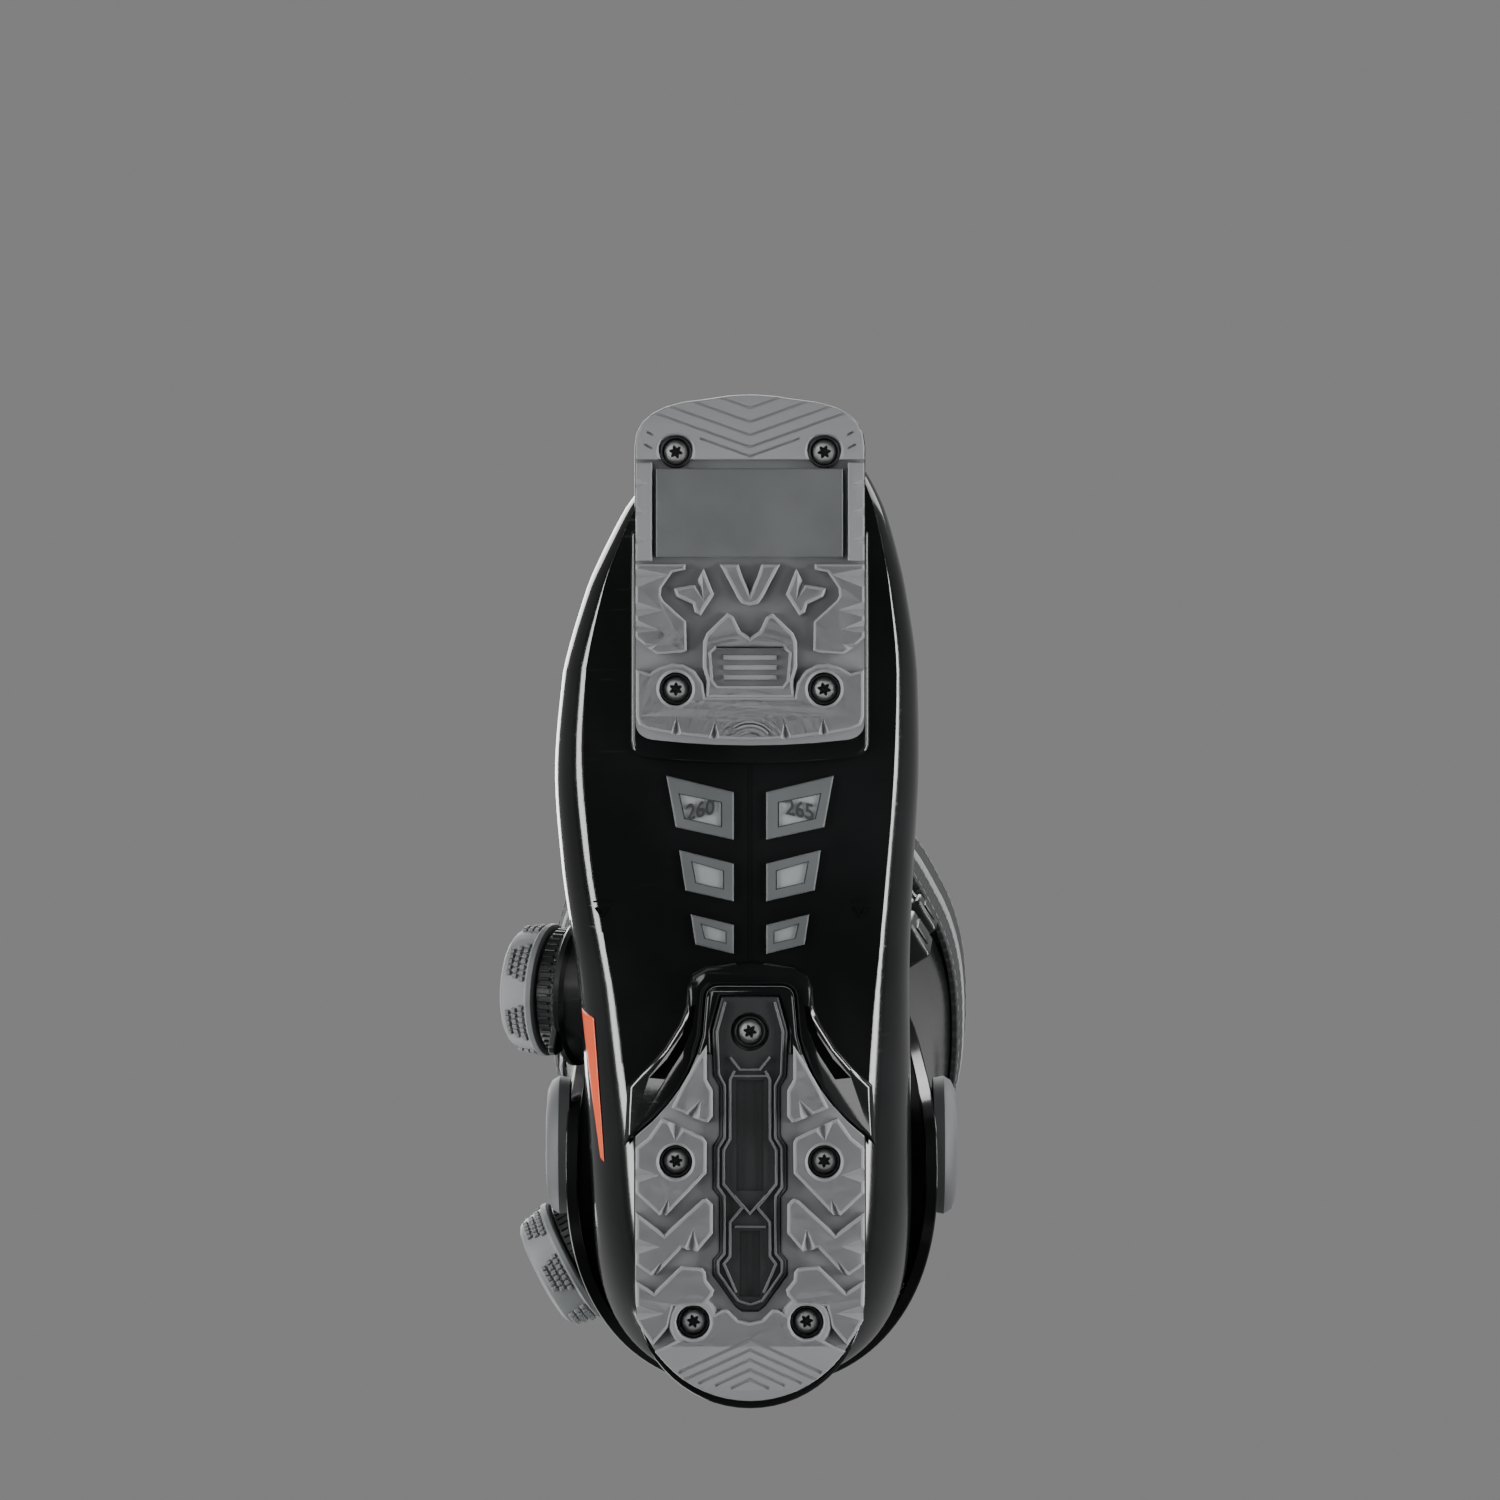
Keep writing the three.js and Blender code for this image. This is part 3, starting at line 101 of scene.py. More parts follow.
class Wire:
    """An output socket that Python operators work on, by adding Math nodes."""

    def __init__(self, bench: "Bench", socket: bpy.types.NodeSocket) -> None:
        """Keep the socket and the tree that it is in."""
        self.bench = bench
        self.socket = socket

    def _math(self, operation: str, first: object, second: object = None) -> "Wire":
        """Add one Math node.

        Args:
            operation: the node's operation.
            first: its first value or wire.
            second: its second value or wire, if it takes one.

        Returns:
            The node's result.
        """
        values = {0: first} if second is None else {0: first, 1: second}
        return self.bench.add("ShaderNodeMath", {"operation": operation}, values)

    def __add__(self, other: object) -> "Wire":
        """Sum."""
        return self._math("ADD", self, other)

    __radd__ = __add__

    def __sub__(self, other: object) -> "Wire":
        """Difference."""
        return self._math("SUBTRACT", self, other)

    def __rsub__(self, other: object) -> "Wire":
        """Difference, the other way round."""
        return self._math("SUBTRACT", other, self)

    def __mul__(self, other: object) -> "Wire":
        """Product."""
        return self._math("MULTIPLY", self, other)

    __rmul__ = __mul__

    def __gt__(self, other: object) -> "Wire":
        """1 where this is more than the other."""
        return self._math("GREATER_THAN", self, other)

    def sine(self) -> "Wire":
        """Sine, in radians."""
        return self._math("SINE", self)

    def size(self) -> "Wire":
        """Absolute value."""
        return self._math("ABSOLUTE", self)

    def fraction(self) -> "Wire":
        """What is past the whole number."""
        return self._math("FRACT", self)

    def between(self, low: float, high: float) -> "Wire":
        """0 at low and below, 1 at high and above, smooth between."""
        values = {0: self, 1: low, 2: high, 3: 0.0, 4: 1.0}
        return self.bench.add("ShaderNodeMapRange", {"interpolation_type": "SMOOTHSTEP"}, values)


class Bench:
    """A material's node tree and the nodes that a finish puts in it."""

    def __init__(self, name: str) -> None:
        """Start a material with one shader and its output."""
        self.material = bpy.data.materials.new(name)
        self.material.use_nodes = True
        self.tree = self.material.node_tree
        self.shader = self.tree.nodes["Principled BSDF"]

    def add(self, kind: str, settings: dict[str, object], values: dict[object, object], output: object = 0) -> Wire:
        """Add a node.

        Args:
            kind: the node's type.
            settings: its own settings, set before its sockets.
            values: a value or a wire for each input socket, by name or number.
            output: which output to return.

        Returns:
            The wanted output.
        """
        node = self.tree.nodes.new(kind)
        for key, value in settings.items():
            setattr(node, key, value)
        for key, value in values.items():
            self.feed(node.inputs[key], value)
        return Wire(self, node.outputs[output])

    def feed(self, socket: bpy.types.NodeSocket, value: object) -> None:
        """Link a wire to a socket, or set the socket's own value."""
        if isinstance(value, Wire):
            self.tree.links.new(value.socket, socket)
        else:
            socket.default_value = value

    def place(self, scale: Sequence[float] = (1, 1, 1), turn: Sequence[float] = (0, 0, 0), uv: bool = False) -> Wire:
        """Coordinates that a pattern is laid out on.

        Args:
            scale: how many times the pattern repeats in a metre, or in a piece's own map.
            turn: the pattern's turn, in radians.
            uv: whether to follow the piece's own map.

        Returns:
            The coordinates.
        """
        where = self.add("ShaderNodeTexCoord", {}, {}, "UV" if uv else "Object")
        values = {"Vector": where, "Scale": scale, "Rotation": turn}
        return self.add("ShaderNodeMapping", {}, values)

    def axis(self, where: Wire, name: str) -> Wire:
        """One of X, Y and Z of some coordinates."""
        return self.add("ShaderNodeSeparateXYZ", {}, {"Vector": where}, name)

    def noise(self, where: Wire, scale: float, detail: float = 3.0) -> Wire:
        """Cloudy noise, about 0.5."""
        return self.add("ShaderNodeTexNoise", {}, {"Vector": where, "Scale": scale, "Detail": detail}, "Fac")

    def cells(self, where: Wire, scale: float) -> Wire:
        """Distance from the nearest of many scattered points."""
        return self.add("ShaderNodeTexVoronoi", {}, {"Vector": where, "Scale": scale}, "Distance")

    def mix(self, share: object, first: Sequence[float], second: object) -> Wire:
        """A colour between two."""
        settings = {"data_type": "RGBA"}
        values = {"Factor": share, 6: first if isinstance(first, Wire) else (*first, 1.0)}
        values[7] = second if isinstance(second, Wire) else (*second, 1.0)
        return self.add("ShaderNodeMix", settings, values, 2)

    def bump(self, height: Wire, depth: float, strength: float = 1.0, under: Wire | None = None) -> Wire:
        """A surface normal with some relief, depth in millimetres."""
        values: dict[object, object] = {"Height": height, "Distance": depth * 0.001, "Strength": strength}
        if under is not None:
            values["Normal"] = under
        return self.add("ShaderNodeBump", {}, values)

    def shade(self, **sockets: object) -> bpy.types.Material:
        """Set the shader's sockets, named with _ for a space, and return the material."""
        for key, value in sockets.items():
            self.feed(self.shader.inputs[key.replace("_", " ")], value)
        return self.material


@dataclass(frozen=True)
class Finish:
    """What a surface is made of and how it was finished."""

    name: str

    def make(self, bench: Bench) -> bpy.types.Material:
        """Build the material on a bench."""
        raise NotImplementedError

    def material(self) -> bpy.types.Material:
        """The finish's material, made once."""
        return bpy.data.materials.get(self.name) or self.make(Bench(self.name))


@dataclass(frozen=True)
class PolishedPlastic(Finish):
    """A hard, glossy moulding, with a faint orange peel and the fine scuffs of handling."""

    dark: Colour
    light: Colour
    gloss: float = 0.07
    peel: float = 0.05

    def make(self, bench: Bench) -> bpy.types.Material:
        """Build the material."""
        where = bench.place()
        clouds = bench.noise(where, 18, 4)
        scuffs = bench.noise(bench.place((60, 900, 220), (0.3, 0.2, 0.5)), 1, 2).between(0.62, 0.78)
        peel = bench.bump(bench.noise(where, 260, 1), self.peel, 0.35)
        relief = bench.bump(scuffs, 0.012, 0.3, peel)
        roughness = clouds * 0.08 + scuffs * 0.1 + self.gloss
        colour = bench.mix(clouds.between(0.35, 0.7), self.dark, self.light)
        return bench.shade(Base_Color=colour, Roughness=roughness, Normal=relief, IOR=1.5)


@dataclass(frozen=True)
class MouldedRubber(Finish):
    """A matt rubber moulding, with a spark-eroded grain and paler dusty patches."""

    dark: Colour
    light: Colour
    grain: float = 0.05
    roughness: float = 0.62

    def make(self, bench: Bench) -> bpy.types.Material:
        """Build the material."""
        where = bench.place()
        clouds = bench.noise(where, 34, 5)
        speckle = bench.noise(where, 2600, 2)
        pores = bench.cells(where, 1500)
        grain = bench.bump(speckle * 0.6 + pores * 0.5, self.grain, 0.5)
        colour = bench.mix(clouds.between(0.3, 0.72) * 0.75 + speckle * 0.3, self.dark, self.light)
        roughness = clouds * 0.16 + (self.roughness - 0.08)
        return bench.shade(Base_Color=colour, Roughness=roughness, Normal=grain, Specular_IOR_Level=0.42)


@dataclass(frozen=True)
class BrightSteel(Finish):
    """Machined steel, with fine turning marks."""

    colour: Colour = (0.9, 0.905, 0.91)
    roughness: float = 0.34

    def make(self, bench: Bench) -> bpy.types.Material:
        """Build the material."""
        marks = bench.noise(bench.place((900, 5200, 2600)), 1, 2)
        clouds = bench.noise(bench.place(), 400, 3)
        colour = bench.mix(clouds.between(0.3, 0.75), self.colour, tuple(c * 0.72 for c in self.colour))
        relief = bench.bump(marks + clouds, 0.09, 0.6)
        return bench.shade(Base_Color=colour, Metallic=1.0, Roughness=marks * 0.12 + self.roughness, Normal=relief)


@dataclass(frozen=True)
class Woven(Finish):
    """A cloth of warp and weft, laid out on the piece's own map, in threads per map width and height."""

    dark: Colour
    light: Colour
    threads: Point2
    depth: float = 0.25
    sheen: float = 0.3

    def make(self, bench: Bench) -> bpy.types.Material:
        """Build the material."""
        where = bench.place((self.threads[0], self.threads[1], 1), uv=True)
        warp, weft = bench.axis(where, "X"), bench.axis(where, "Y")
        over = (((warp * 0.5).fraction() > 0.5) * 1.0 - ((weft * 0.5).fraction() > 0.5)).size()
        ridge_a = (warp * math.pi).sine().size()
        ridge_b = (weft * math.pi).sine().size()
        height = ridge_a * over + ridge_b * (1 - over)
        fibres = bench.noise(bench.place(), 3800, 2)
        clouds = bench.noise(bench.place(), 30, 3)
        # The colour follows the threads' height, darker in the gaps between threads: painted shade; fibres and clouds
        # add random tone.
        colour = bench.mix((height * 0.55 + fibres * 0.3 + clouds * 0.25).between(0.2, 0.9), self.dark, self.light)
        relief = bench.bump(height + fibres * 0.25, self.depth, 0.8)
        return bench.shade(
            Base_Color=colour, Roughness=fibres * 0.1 + 0.78, Normal=relief, Sheen_Weight=self.sheen,
            Sheen_Roughness=0.4
        )


@dataclass(frozen=True)
class Brushed(Finish):
    """A soft brushed textile, with a short nap."""

    dark: Colour
    light: Colour
    nap: float = 0.2

    def make(self, bench: Bench) -> bpy.types.Material:
        """Build the material."""
        where = bench.place()
        fibres = bench.noise(where, 1700, 4)
        clouds = bench.noise(where, 26, 4)
        holes = bench.cells(where, 420)
        colour = bench.mix((fibres * 0.6 + clouds * 0.5).between(0.3, 0.8), self.dark, self.light)
        relief = bench.bump(fibres + holes * 0.6, self.nap, 0.7)
        return bench.shade(Base_Color=colour, Roughness=0.92, Normal=relief, Sheen_Weight=0.35, Sheen_Roughness=0.5)


@dataclass(frozen=True)
class TwistedSteel(Finish):
    """A fine cable of steel strands, laid round it in a long twist, on the piece's own map."""

    strands: float = 6.0
    turns: float = 60.0

    def make(self, bench: Bench) -> bpy.types.Material:
        """Build the material."""
        where = bench.place((self.strands, self.turns, 1), uv=True)
        lay = (bench.axis(where, "X") + bench.axis(where, "Y")) * (2 * math.pi)
        strand = lay.sine() * 0.5 + 0.5
        # The colour is dark in the grooves between strands and pale on their crowns: painted shade.
        colour = bench.mix(strand, (0.18, 0.18, 0.19), (0.62, 0.63, 0.65))
        return bench.shade(Base_Color=colour, Metallic=0.9, Roughness=0.34, Normal=bench.bump(strand, 0.25, 0.8))


SHELL = PolishedPlastic("shell_polished", (0.0045, 0.0048, 0.005), (0.010, 0.0105, 0.011), 0.07)
CUFF_FINISH = PolishedPlastic("cuff_polished", (0.006, 0.0063, 0.0066), (0.013, 0.0135, 0.014), 0.1)
HOUSING = PolishedPlastic("housing_satin", (0.010, 0.0105, 0.011), (0.02, 0.021, 0.022), 0.24, 0.03)
SOLE = MouldedRubber("sole_rubber", (0.056, 0.0603, 0.062), (0.09, 0.096, 0.0985))
SLIDE = MouldedRubber("slide_pad", (0.105, 0.112, 0.115), (0.145, 0.153, 0.157), 0.06, 0.5)
INSERT = MouldedRubber("insert_rubber", (0.018, 0.0187, 0.0195), (0.034, 0.0355, 0.037), 0.14, 0.5)
# The insert's own black rubber made several times lighter for its raised ribs: painted highlight.
INSERT_RIB_HIGHLIGHT = MouldedRubber("insert_rib", (0.08, 0.084, 0.087), (0.14, 0.147, 0.152), 0.05, 0.4)
PAD = MouldedRubber("arch_pad", (0.10, 0.108, 0.112), (0.145, 0.155, 0.16), 0.04, 0.5)
PAD_FACE = MouldedRubber("arch_pad_face", (0.27, 0.285, 0.295), (0.38, 0.4, 0.41), 0.08, 0.4)
PAD_NUMBER = MouldedRubber("arch_pad_number", (0.035, 0.037, 0.038), (0.055, 0.058, 0.06), 0.03, 0.45)
GRIP = MouldedRubber("knob_rubber", (0.165, 0.173, 0.177), (0.24, 0.252, 0.257), 0.05, 0.55)
MATT_COVER = MouldedRubber("pivot_cover", (0.075, 0.079, 0.081), (0.115, 0.121, 0.124), 0.05, 0.55)
BOARD = MouldedRubber("foam_board", (0.02, 0.02, 0.021), (0.035, 0.035, 0.037), 0.12, 0.8)
STEEL = BrightSteel("screw_steel", (0.96, 0.962, 0.965), 0.46)
# Near-black steel for the floor of each screw's star recess: painted shade, not the screw's own colour.
RECESS_SHADE_STEEL = BrightSteel("recess_painted_shade", (0.05, 0.051, 0.053), 0.4)
DARK_STEEL = BrightSteel("pivot_steel", (0.34, 0.35, 0.36), 0.3)
CABLE = TwistedSteel("lace_cable")
WEBBING = Woven("strap_webbing", (0.008, 0.0085, 0.009), (0.026, 0.027, 0.028), (300, 26), 0.3, 0.05)
STRAP_MARK = Woven("strap_stripe", (0.10, 0.105, 0.108), (0.26, 0.27, 0.275), (300, 6), 0.2)
LINER_OUT = Brushed("liner_textile", (0.014, 0.015, 0.016), (0.036, 0.038, 0.04))
LINER_IN = Brushed("liner_lining", (0.05, 0.052, 0.055), (0.10, 0.104, 0.108), 0.3)
ORANGE = PolishedPlastic("accent_orange", (0.68, 0.075, 0.02), (0.82, 0.11, 0.03), 0.25)
THREAD = Woven("stitch_thread", (0.16, 0.16, 0.165), (0.3, 0.3, 0.31), (8, 8), 0.05)


# ---- mesh work ---------------------------------------------------------------------------------------------


def link(name: str, data: bpy.types.ID) -> bpy.types.Object:
    """A new object in the scene."""
    made = bpy.data.objects.new(name, data)
    bpy.context.scene.collection.objects.link(made)
    return made


def moved(bm: Mesh, matrix: Matrix) -> Mesh:
    """The same mesh, put somewhere else."""
    bmesh.ops.transform(bm, matrix=matrix, verts=bm.verts)
    return bm


def shifted(bm: Mesh, place: Point2) -> Mesh:
    """The same mesh, put somewhere else in plan."""
    return moved(bm, Matrix.Translation((*place, 0)))


def spun(degrees: float, place: Sequence[float] = (0, 0, 0)) -> Matrix:
    """A place that is carried round the upright axis."""
    return Matrix.Rotation(math.radians(degrees), 4, "Z") @ Matrix.Translation(place)


def bisect(bm: Mesh, point: Sequence[float], normal: Sequence[float], dist: float = 0.001, clear: bool = False) -> None:
    """Cut a mesh's faces along a plane.

    Args:
        bm: the mesh, changed in place.
        point: a point of the plane.
        normal: the way it faces.
        dist: how near a corner counts as on it.
        clear: whether what lies in front of it goes.
    """
    geom = bm.verts[:] + bm.edges[:] + bm.faces[:]
    bmesh.ops.bisect_plane(bm, geom=geom, dist=dist, plane_co=point, plane_no=normal, clear_outer=clear)


def chamfer(bm: Mesh, edges: list[bmesh.types.BMEdge], width: float, segments: int, clamp: bool = False) -> None:
    """Round some edges."""
    bmesh.ops.bevel(
        bm, geom=edges, offset=width, offset_type="OFFSET", segments=segments, profile=0.5, affect="EDGES", material=-1,
        clamp_overlap=clamp,
    )


def sheet(across: int, along: int, place: Place, weld: bool = False) -> Mesh:
    """A grid laid over a surface, with a map that runs from 0 to 1 each way, facing out where angles grow across it.

    Args:
        across: faces in the first direction.
        along: faces in the second direction.
        place: the point for each pair of shares, in millimetres.
        weld: whether edges that meet are joined.

    Returns:
        The mesh.
    """
    bm = bmesh.new()
    bm.loops.layers.uv.new("UVMap")
    bmesh.ops.create_grid(bm, x_segments=across, y_segments=along, size=1.0, calc_uvs=True)
    reach = max(v.co.x for v in bm.verts)
    for vert in bm.verts:
        vert.co = place((vert.co.x / reach + 1) / 2, (vert.co.y / reach + 1) / 2)
    if weld:
        bmesh.ops.remove_doubles(bm, verts=bm.verts, dist=0.004)
    bmesh.ops.reverse_faces(bm, faces=bm.faces)
    return bm


def prism(outline: Outline, low: float, high: float) -> Mesh:
    """A plan outline pulled up from one height to another."""
    bm = bmesh.new()
    face = bm.faces.new([bm.verts.new((x, y, low)) for x, y in outline])
    made = bmesh.ops.extrude_face_region(bm, geom=[face])
    top = [part for part in made["geom"] if isinstance(part, bmesh.types.BMVert)]
    bmesh.ops.translate(bm, verts=top, vec=(0, 0, high - low))
    bmesh.ops.recalc_face_normals(bm, faces=bm.faces)
    return bm


def frustum(centre: Point2, radii: Point2, low: float, high: float, sides: int) -> Mesh:
    """A round block with its axis upright, and a radius for each of its ends."""
    bm = bmesh.new()
    middle = Matrix.Translation((*centre, (low + high) / 2))
    bmesh.ops.create_cone(
        bm, cap_ends=True, segments=sides, radius1=radii[0], radius2=radii[1], depth=high - low, matrix=middle
    )
    return bm


def lathe(profile: Sequence[Point2], steps: int = 48) -> Mesh:
    """A profile of radius and height turned about the upright axis."""
    bm = bmesh.new()
    verts = [bm.verts.new((r, 0, z)) for r, z in profile]
    edges = [bm.edges.new(pair) for pair in zip(verts, verts[1:])]
    bmesh.ops.spin(
        bm, geom=verts + edges, cent=(0, 0, 0), axis=(0, 0, 1), dvec=(0, 0, 0), angle=math.tau, steps=steps,
        use_merge=True
    )
    bmesh.ops.remove_doubles(bm, verts=bm.verts, dist=0.001)
    bmesh.ops.recalc_face_normals(bm, faces=bm.faces)
    return bm


def block(size: Sequence[float], matrix: Matrix, bevel: float = 0.0, segments: int = 1) -> Mesh:
    """A box with its edges taken off."""
    bm = bmesh.new()
    bmesh.ops.create_cube(bm, size=1.0)
    bmesh.ops.scale(bm, vec=size, verts=bm.verts)
    if bevel:
        chamfer(bm, bm.edges[:], bevel, segments)
    return moved(bm, matrix)


def gather(parts: Iterable[Mesh]) -> Mesh:
    """Several meshes in one."""
    whole = bmesh.new()
    for part in parts:
        mesh = bpy.data.meshes.new("part")
        part.to_mesh(mesh)
        part.free()
        whole.from_mesh(mesh)
        bpy.data.meshes.remove(mesh)
    return whole


def carve(stock: Mesh, *tools: Mesh) -> Mesh:
    """Take tools from a block, one after another.

    Args:
        stock: the block, used up.
        tools: what is taken from it, used up.

    Returns:
        The new block.
    """
    for tool in tools:
        objects = []
        for bm in (stock, tool):
            mesh = bpy.data.meshes.new("carving")
            bm.to_mesh(mesh)
            bm.free()
            objects.append(link("carving", mesh))
        modifier = objects[0].modifiers.new("cut", "BOOLEAN")
        modifier.operation = "DIFFERENCE"
        modifier.solver = "EXACT"
        modifier.object = objects[1]
        graph = bpy.context.evaluated_depsgraph_get()
        result = bpy.data.meshes.new_from_object(objects[0].evaluated_get(graph))
        stock = bmesh.new()
        stock.from_mesh(result)
        bpy.data.meshes.remove(result)
        for thing in objects:
            mesh = thing.data
            bpy.data.objects.remove(thing)
            bpy.data.meshes.remove(mesh)
    return stock


def folded(bm: Mesh) -> bool:
    """Whether any face crosses itself."""
    bm.normal_update()
    for corner_a, corner_b, corner_c in bm.calc_loop_triangles():
        a, b, c = corner_a.vert.co, corner_b.vert.co, corner_c.vert.co
        if (b - a).cross(c - a).dot(corner_a.face.normal) < -1e-5:
            return True
    return False


def lug(outline: Outline, low: float, high: float, width: float = 0.8) -> Mesh:
    """A tread block with its lower rim rounded off.

    Args:
        outline: its plan.
        low: height of its underside.
        high: height of its top.
        width: how much the rim takes off, made less where the block is too narrow for it.

    Returns:
        The block.
    """
    bm = prism(outline, low + width, high)
    for share in (1.0, 0.7, 0.45, 0.25):
        bm = prism(outline, low + width * share, high)
        under = min(bm.faces, key=lambda face: face.calc_center_median().z)
        for across, down in ((0.35, 0.7), (0.65, 0.3)):
            bmesh.ops.inset_region(bm, faces=[under], thickness=width * share * across, use_even_offset=True)
            bmesh.ops.translate(bm, verts=under.verts, vec=(0, 0, -width * share * down))
        if not folded(bm):
            break
    return bm


def scoop(apex: Point2, left: Point2, right: Point2, depth: float = 2.4) -> Mesh:
    """A folded notch that runs from nothing at its apex to its full depth at an edge."""
    past = 1.15  # how far the tool runs on past the edge
    bm = bmesh.new()
    middle = Vector(((left[0] + right[0]) / 2, (left[1] + right[1]) / 2))
    points = [(*apex, -0.01), (*(Vector(apex) + (middle - Vector(apex)) * past), depth * past)]
    for side in (left, right):
        reach = Vector(apex) + (Vector(side) - Vector(apex)) * past
        points += [(*reach, 0.0), (*reach, -2.0)]
    points.append((*apex, -2.0))
    bmesh.ops.convex_hull(bm, input=[bm.verts.new(point) for point in points])
    bmesh.ops.recalc_face_normals(bm, faces=bm.faces)
    return bm


def scoops(notches: Iterable[tuple[Point2, Point2, Point2]]) -> Mesh:
    """The notches of one side of a plate, and those of the other side."""
    listed = list(notches)
    return gather([scoop(*notch) for notch in listed] + [scoop(*((-x, y) for x, y in notch)) for notch in listed])


def rocker(bm: Mesh, table: Sequence[Point2], crest: float) -> Mesh:
    """Curve the underside of a block up towards an end.

    Args:
        bm: the block, changed in place.
        table: rise against distance along the boot.
        crest: height at which the block stays as it is.

    Returns:
        The same block.
    """
    for y, _ in table:
        bisect(bm, (0, y, 0), (0, 1, 0))
    for vert in bm.verts:
        vert.co.z += along_line(table, vert.co.y) * (1 - max(0.0, vert.co.z) / crest)
    return bm


def recess(places: Iterable[Point2], seat: float, radius: float = 5.0) -> Mesh:
    """The room that screws need: a shaft for each, flared at its mouth."""
    shafts = []
    for x, y in places:
        flared = [(radius, 1.0), (radius + 0.9, -0.1), (radius + 0.9, -3)]
        shafts.append(shifted(lathe([(0, seat), (radius, seat), *flared, (0, -3)], 40), (x, y)))
    return gather(shafts)


def sweep(path: Sequence[Vector], radius: float, sides: int = 10) -> Mesh:
    """A round cable along a path, closed at both ends."""
    ahead = [(b - a).normalized() for a, b in zip(path, path[1:])]
    ahead.append(ahead[-1])
    across = [ahead[0].orthogonal().normalized()]
    for before, now in zip(ahead, ahead[1:]):
        across.append((before.rotation_difference(now) @ across[-1]).normalized())

    def place(turn: float, share: float) -> Vector:
        """The cable's surface at a share of its turn and of its length."""
        i = round(share * (len(path) - 1))
        up = ahead[i].cross(across[i])
        return path[i] + radius * (math.cos(math.tau * turn) * across[i] + math.sin(math.tau * turn) * up)

    bm = sheet(sides, len(path) - 1, place, weld=True)
    bmesh.ops.holes_fill(bm, edges=bm.edges[:], sides=0)
    return bm


def mirrored(outline: Outline) -> Outline:
    """An outline turned over the boot's middle line."""
    return [(-x, y) for x, y in reversed(outline)]


def both(outlines: Iterable[Outline]) -> list[Outline]:
    """Outlines and their mirror images."""
    listed = list(outlines)
    return listed + [mirrored(o) for o in listed]


def arc(centre: Point2, radius: float, start: float, end: float, steps: int = 12) -> Outline:
    """Points on an arc, with its angles in degrees."""
    turns = [math.radians(start + (end - start) * i / steps) for i in range(steps + 1)]
    return [(centre[0] + radius * math.cos(a), centre[1] + radius * math.sin(a)) for a in turns]


def corner(a: Point2, b: Point2, c: Point2, steps: int = 6) -> Outline:
    """A rounded corner from a to c, with b as its sharp point."""
    made = []
    for i in range(steps + 1):
        t = i / steps
        made.append(tuple((1 - t) ** 2 * p + 2 * t * (1 - t) * q + t * t * r for p, q, r in zip(a, b, c)))
    return made


def stroke(points: Outline, width: float) -> Outline:
    """A line drawn with a pen of some width, as an outline."""
    left, right = [], []
    for i, (x, y) in enumerate(points):
        before = Vector(points[max(i - 1, 0)])
        after = Vector(points[min(i + 1, len(points) - 1)])
        here = Vector((x, y))
        one = (here - before).normalized() if i else (after - here).normalized()
        two = (after - here).normalized() if i < len(points) - 1 else one
        middle = (one + two).normalized()
        reach = width / 2 / max(0.35, middle.dot(one))
        side = Vector((-middle.y, middle.x)) * reach
        left.append((x + side.x, y + side.y))
        right.append((x - side.x, y - side.y))
    return left + right[::-1]


def chevron(apex: float, reach: float, slope: float, width: float) -> Outline:
    """The outline of a V drawn across the boot, with its point on the middle line."""
    return stroke([(-reach, apex + reach * slope), (0, apex), (reach, apex + reach * slope)], width)


@dataclass
class Piece:
    """A finished mesh: what it is called, what it is made of and what it rides on."""

    name: str
    finish: Finish
    body: Body
    slot: str
    stands_for: tuple[str, ...] = ()
    bevel: float = 0.0
    bevel_segments: int = 2
    wall: float = 0.0
    rounds: int = 0
    sharp: float = 34.0
    more_finishes: tuple[Finish, ...] = ()

    def settle(self, bm: Mesh, recalculate: bool = True) -> bpy.types.Object:
        """Put a mesh in its place in the row frame and dress it.

        Args:
            bm: the mesh, in millimetres, used up.
            recalculate: whether its faces are turned to point outwards.

        Returns:
            The object.
        """
        moved(bm, TO_ROW)
        if recalculate:
            bmesh.ops.recalc_face_normals(bm, faces=bm.faces)
        for face in bm.faces:
            face.smooth = True
        for edge in bm.edges:
            edge.smooth = len(edge.link_faces) < 2 or edge.calc_face_angle(0) < math.radians(self.sharp)
        mesh = bpy.data.meshes.new(self.name)
        bm.to_mesh(mesh)
        bm.free()
        made = link(self.name, mesh)
        for finish in (self.finish, *self.more_finishes):
            mesh.materials.append(finish.material())
        self._modify(made)
        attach(made, self.body.value)
        if self.stands_for:
            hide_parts(*self.stands_for)
        log.info("%s: %d faces", self.name, len(mesh.polygons))
        return made

    def _modify(self, made: bpy.types.Object) -> None:
        """Give the piece its wall, its rounded edges and its smoothing."""
        if self.wall:
            solid = made.modifiers.new("wall", "SOLIDIFY")
            solid.thickness = self.wall * 0.001
            solid.offset = -1
            solid.use_even_offset = True
        if self.bevel:
            edges = made.modifiers.new("edges", "BEVEL")
            edges.width = self.bevel * 0.001
            edges.segments = self.bevel_segments
            edges.limit_method = "ANGLE"
            edges.angle_limit = math.radians(self.sharp)
            edges.harden_normals = True
        if self.rounds:
            smooth = made.modifiers.new("rounds", "SUBSURF")
            smooth.levels = smooth.render_levels = self.rounds


def dress(node: str, finish: Finish) -> None:
    """Give an inner piece that keeps its own shape a real finish."""
    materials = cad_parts[node].data.materials
    materials.clear()
    materials.append(finish.material())


# ---- the forms that the mouldings follow -------------------------------------------------------------------


